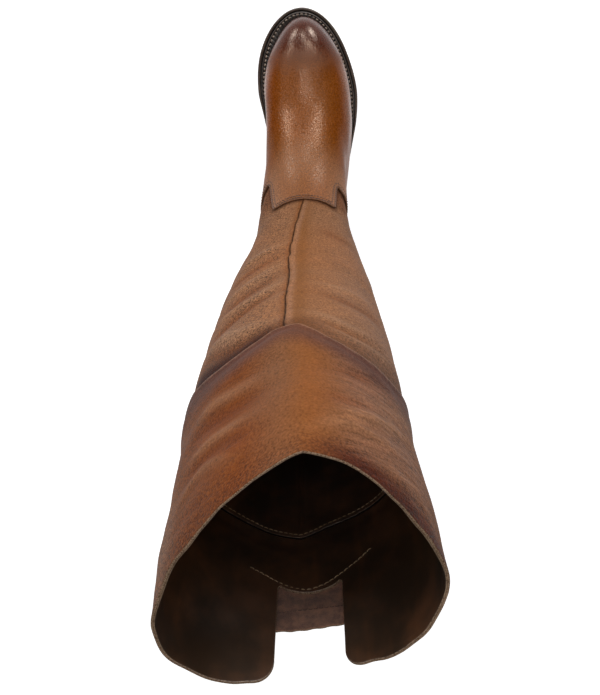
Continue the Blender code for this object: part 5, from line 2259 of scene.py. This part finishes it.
@dataclass
class Studio:
    """Pale floor, soft lights and the camera over the collar."""

    tilt: float = math.radians(27.5)
    pan: float = math.radians(1.0)
    roll: float = math.radians(-0.8)
    stand: tuple[float, float, float] = (0.2898, -0.0036, 0.765)
    lens: float = 39.16
    aim: tuple[float, float, float] = (0.2, 0.0, 0.05)

    LAMPS = (
        # name, turn and rise in degrees, width and height in metres, watts, mirrored, colour
        ("front", 6.0, 27.0, (0.9, 0.9), 17.0, False, WHITE),
        ("overhead", 0.0, 85.0, (2.0, 2.0), 6.0, False, WHITE),
        ("inner_toe", 30.0, 12.0, (0.34, 0.3), 18.0, True, WHITE),
        ("outer_toe", -25.0, 9.0, (0.34, 0.3), 21.0, True, WHITE),
        ("over_toe", 2.0, 27.0, (0.26, 0.2), 11.0, True, WHITE),
        ("over_instep", 4.0, 67.0, (0.3, 0.1), 7.5, True, WARM),
        ("inner_instep", 42.0, 38.0, (0.32, 0.4), 12.0, True, WARM),
        ("outer_instep", -19.0, 43.0, (0.5, 0.3), 14.0, True, WARM),
    )

    def stand_camera(self) -> None:
        """Stands the camera."""
        lens = bpy.data.cameras.new("camera")
        lens.lens, lens.sensor_width, lens.sensor_fit = self.lens, 36.0, "AUTO"
        lens.clip_start, lens.clip_end = 0.01, 30.0
        camera = bpy.data.objects.new("camera", lens)
        ahead = Vector((-math.sin(self.tilt), math.sin(self.pan), -math.cos(self.tilt))).normalized()
        up = Vector((1.0, 0.0, 0.0))
        up = (up - ahead * up.dot(ahead)).normalized()
        right = ahead.cross(up)
        c, s = math.cos(self.roll), math.sin(self.roll)
        right, up = right * c + up * s, up * c - right * s
        turn = Matrix((right, up, -ahead)).transposed().to_4x4()
        camera.matrix_world = Matrix.Translation(self.stand) @ turn
        bpy.context.scene.collection.objects.link(camera)
        bpy.context.scene.camera = camera

    def lay_floor(self) -> None:
        """Lays the floor."""
        size = 4.0
        mesh = bpy.data.meshes.new("floor")
        corners = [(-size, -size, 0), (size, -size, 0), (size, size, 0), (-size, size, 0)]
        mesh.from_pydata(corners, [], [(0, 1, 2, 3)])
        mesh.materials.append(StudioFloor(0.86).make())
        floor = bpy.data.objects.new("floor", mesh)
        bpy.context.scene.collection.objects.link(floor)

    def _hang(
        self, name: str, turn: float, rise: float, size: tuple[float, float], power: float,
        mirrored: bool, colour: Colour,
    ) -> None:
        """Hangs one soft light facing the toe.

        Args:
            name: The light's name.
            turn: Its direction from the toe, in degrees from straight ahead to the inner side.
            rise: Its height over the floor, seen from the toe, in degrees.
            size: Its width and height, in metres.
            power: In watts.
            mirrored: Whether it shows in the gloss, or else lights the leather evenly.
            colour: Of its light.
        """
        light = bpy.data.lights.new(name, "AREA")
        light.shape, light.size, light.size_y, light.energy = "RECTANGLE", size[0], size[1], power
        light.color = colour
        lamp = bpy.data.objects.new(name, light)
        turn, rise = math.radians(turn), math.radians(rise)
        ahead = Vector((math.cos(rise) * math.cos(turn), math.cos(rise) * math.sin(turn), math.sin(rise)))
        lamp.matrix_world = Matrix.Translation(Vector(self.aim) + ahead * 1.6) @ ahead.to_track_quat(
            "Z", "Y"
        ).to_matrix().to_4x4()
        lamp.visible_diffuse, lamp.visible_glossy = not mirrored, mirrored
        bpy.context.scene.collection.objects.link(lamp)

    def hang_lights(self) -> None:
        """Hangs the soft lights and lights the surroundings."""
        for lamp in self.LAMPS:
            self._hang(*lamp)
        world = bpy.data.worlds.new("surroundings")
        world.use_nodes = True
        sky = world.node_tree.nodes["Background"]
        sky.inputs["Color"].default_value = (1.0, 1.0, 1.0, 1.0)
        sky.inputs["Strength"].default_value = 0.24
        bpy.context.scene.world = world
        world.cycles_visibility.glossy = False
        bpy.context.scene.view_settings.view_transform = "Standard"

    def build(self) -> None:
        """Sets the whole studio up."""
        self.stand_camera()
        self.lay_floor()
        self.hang_lights()


# ------------------------------------------------------------------ the boot
def main() -> None:
    """Builds the boot and its studio, piece by piece."""
    logging.basicConfig(level=logging.INFO, format="%(name)s: %(message)s")
    Studio().build()
    surface = LegSurface()
    vamp = DressedLeather(
        "vamp_leather", pebble=1.7, relief=0.08, nap=0.003, roughness=0.28, polish=0.09,
        shine=0.22, cloudiness=0.26, mottle=0.4, creasing=0.0,
    ).make()
    pebbled = DressedLeather(
        "shaft_leather", pebble=1.3, relief=0.26, nap=0.03, roughness=0.6, polish=0.1,
        shine=0.02, cloudiness=0.3, mottle=1.4, creasing=0.8,
    ).make()
    supple = DressedLeather(
        "knee_leather", pebble=1.2, relief=0.24, nap=0.03, roughness=0.58, polish=0.1,
        shine=0.02, cloudiness=0.3, mottle=1.2, creasing=0.85,
    ).make()
    lining = SmoothLining("lining_leather", tone(60, 40, 23), tone(116, 70, 36), 0.5).make()
    flesh = FleshSide("flesh_side", tone(104, 62, 42), tone(176, 118, 88)).make()
    edge = EdgedSole("sole_leather", tone(84, 66, 56), tone(124, 106, 92), 0.46).make()
    strip = EdgedSole("welt_leather", tone(54, 38, 30), tone(92, 70, 56), 0.5, wheeled=True).make()
    board = EdgedSole("insole_leather", tone(96, 66, 46), tone(120, 88, 62), 0.7).make()
    stacked = EdgedSole("stacked_leather", tone(58, 36, 26), tone(84, 56, 40), 0.42, 2600.0).make()
    rubber = HeelRubber("heel_rubber").make()

    foot = FootLeather(surface)
    panel = KneePanel(surface)
    shaft = LowerShaft(surface, foot, panel.edge)
    tab = BackTab(surface, panel)
    attach(foot.build(), "vamp_leather", (vamp, lining), "upper")
    attach(shaft.build(), "shaft_leather", (pebbled, lining), "shaft")
    attach(panel.build(), "knee_leather", (supple, lining), "knee_panel")
    attach(tab.build(), "tab_leather", (supple, flesh), "back_tab")

    sole, heel = Sole(), Heel()
    attach(sole.outsole(), "sole_leather", (edge,), "outsole")
    attach(sole.welt(), "sole_leather", (strip,), "welt")
    attach(sole.insole(), "insole_leather", (board,), "insole")
    for node, layer in heel.build():
        top = node == "heel_top_piece"
        attach(layer, "heel_rubber" if top else "stacked_leather", (rubber if top else stacked,), node)
    Stitching(surface, foot, shaft, panel, tab, sole).build()


if __name__ == "__main__":
    main()
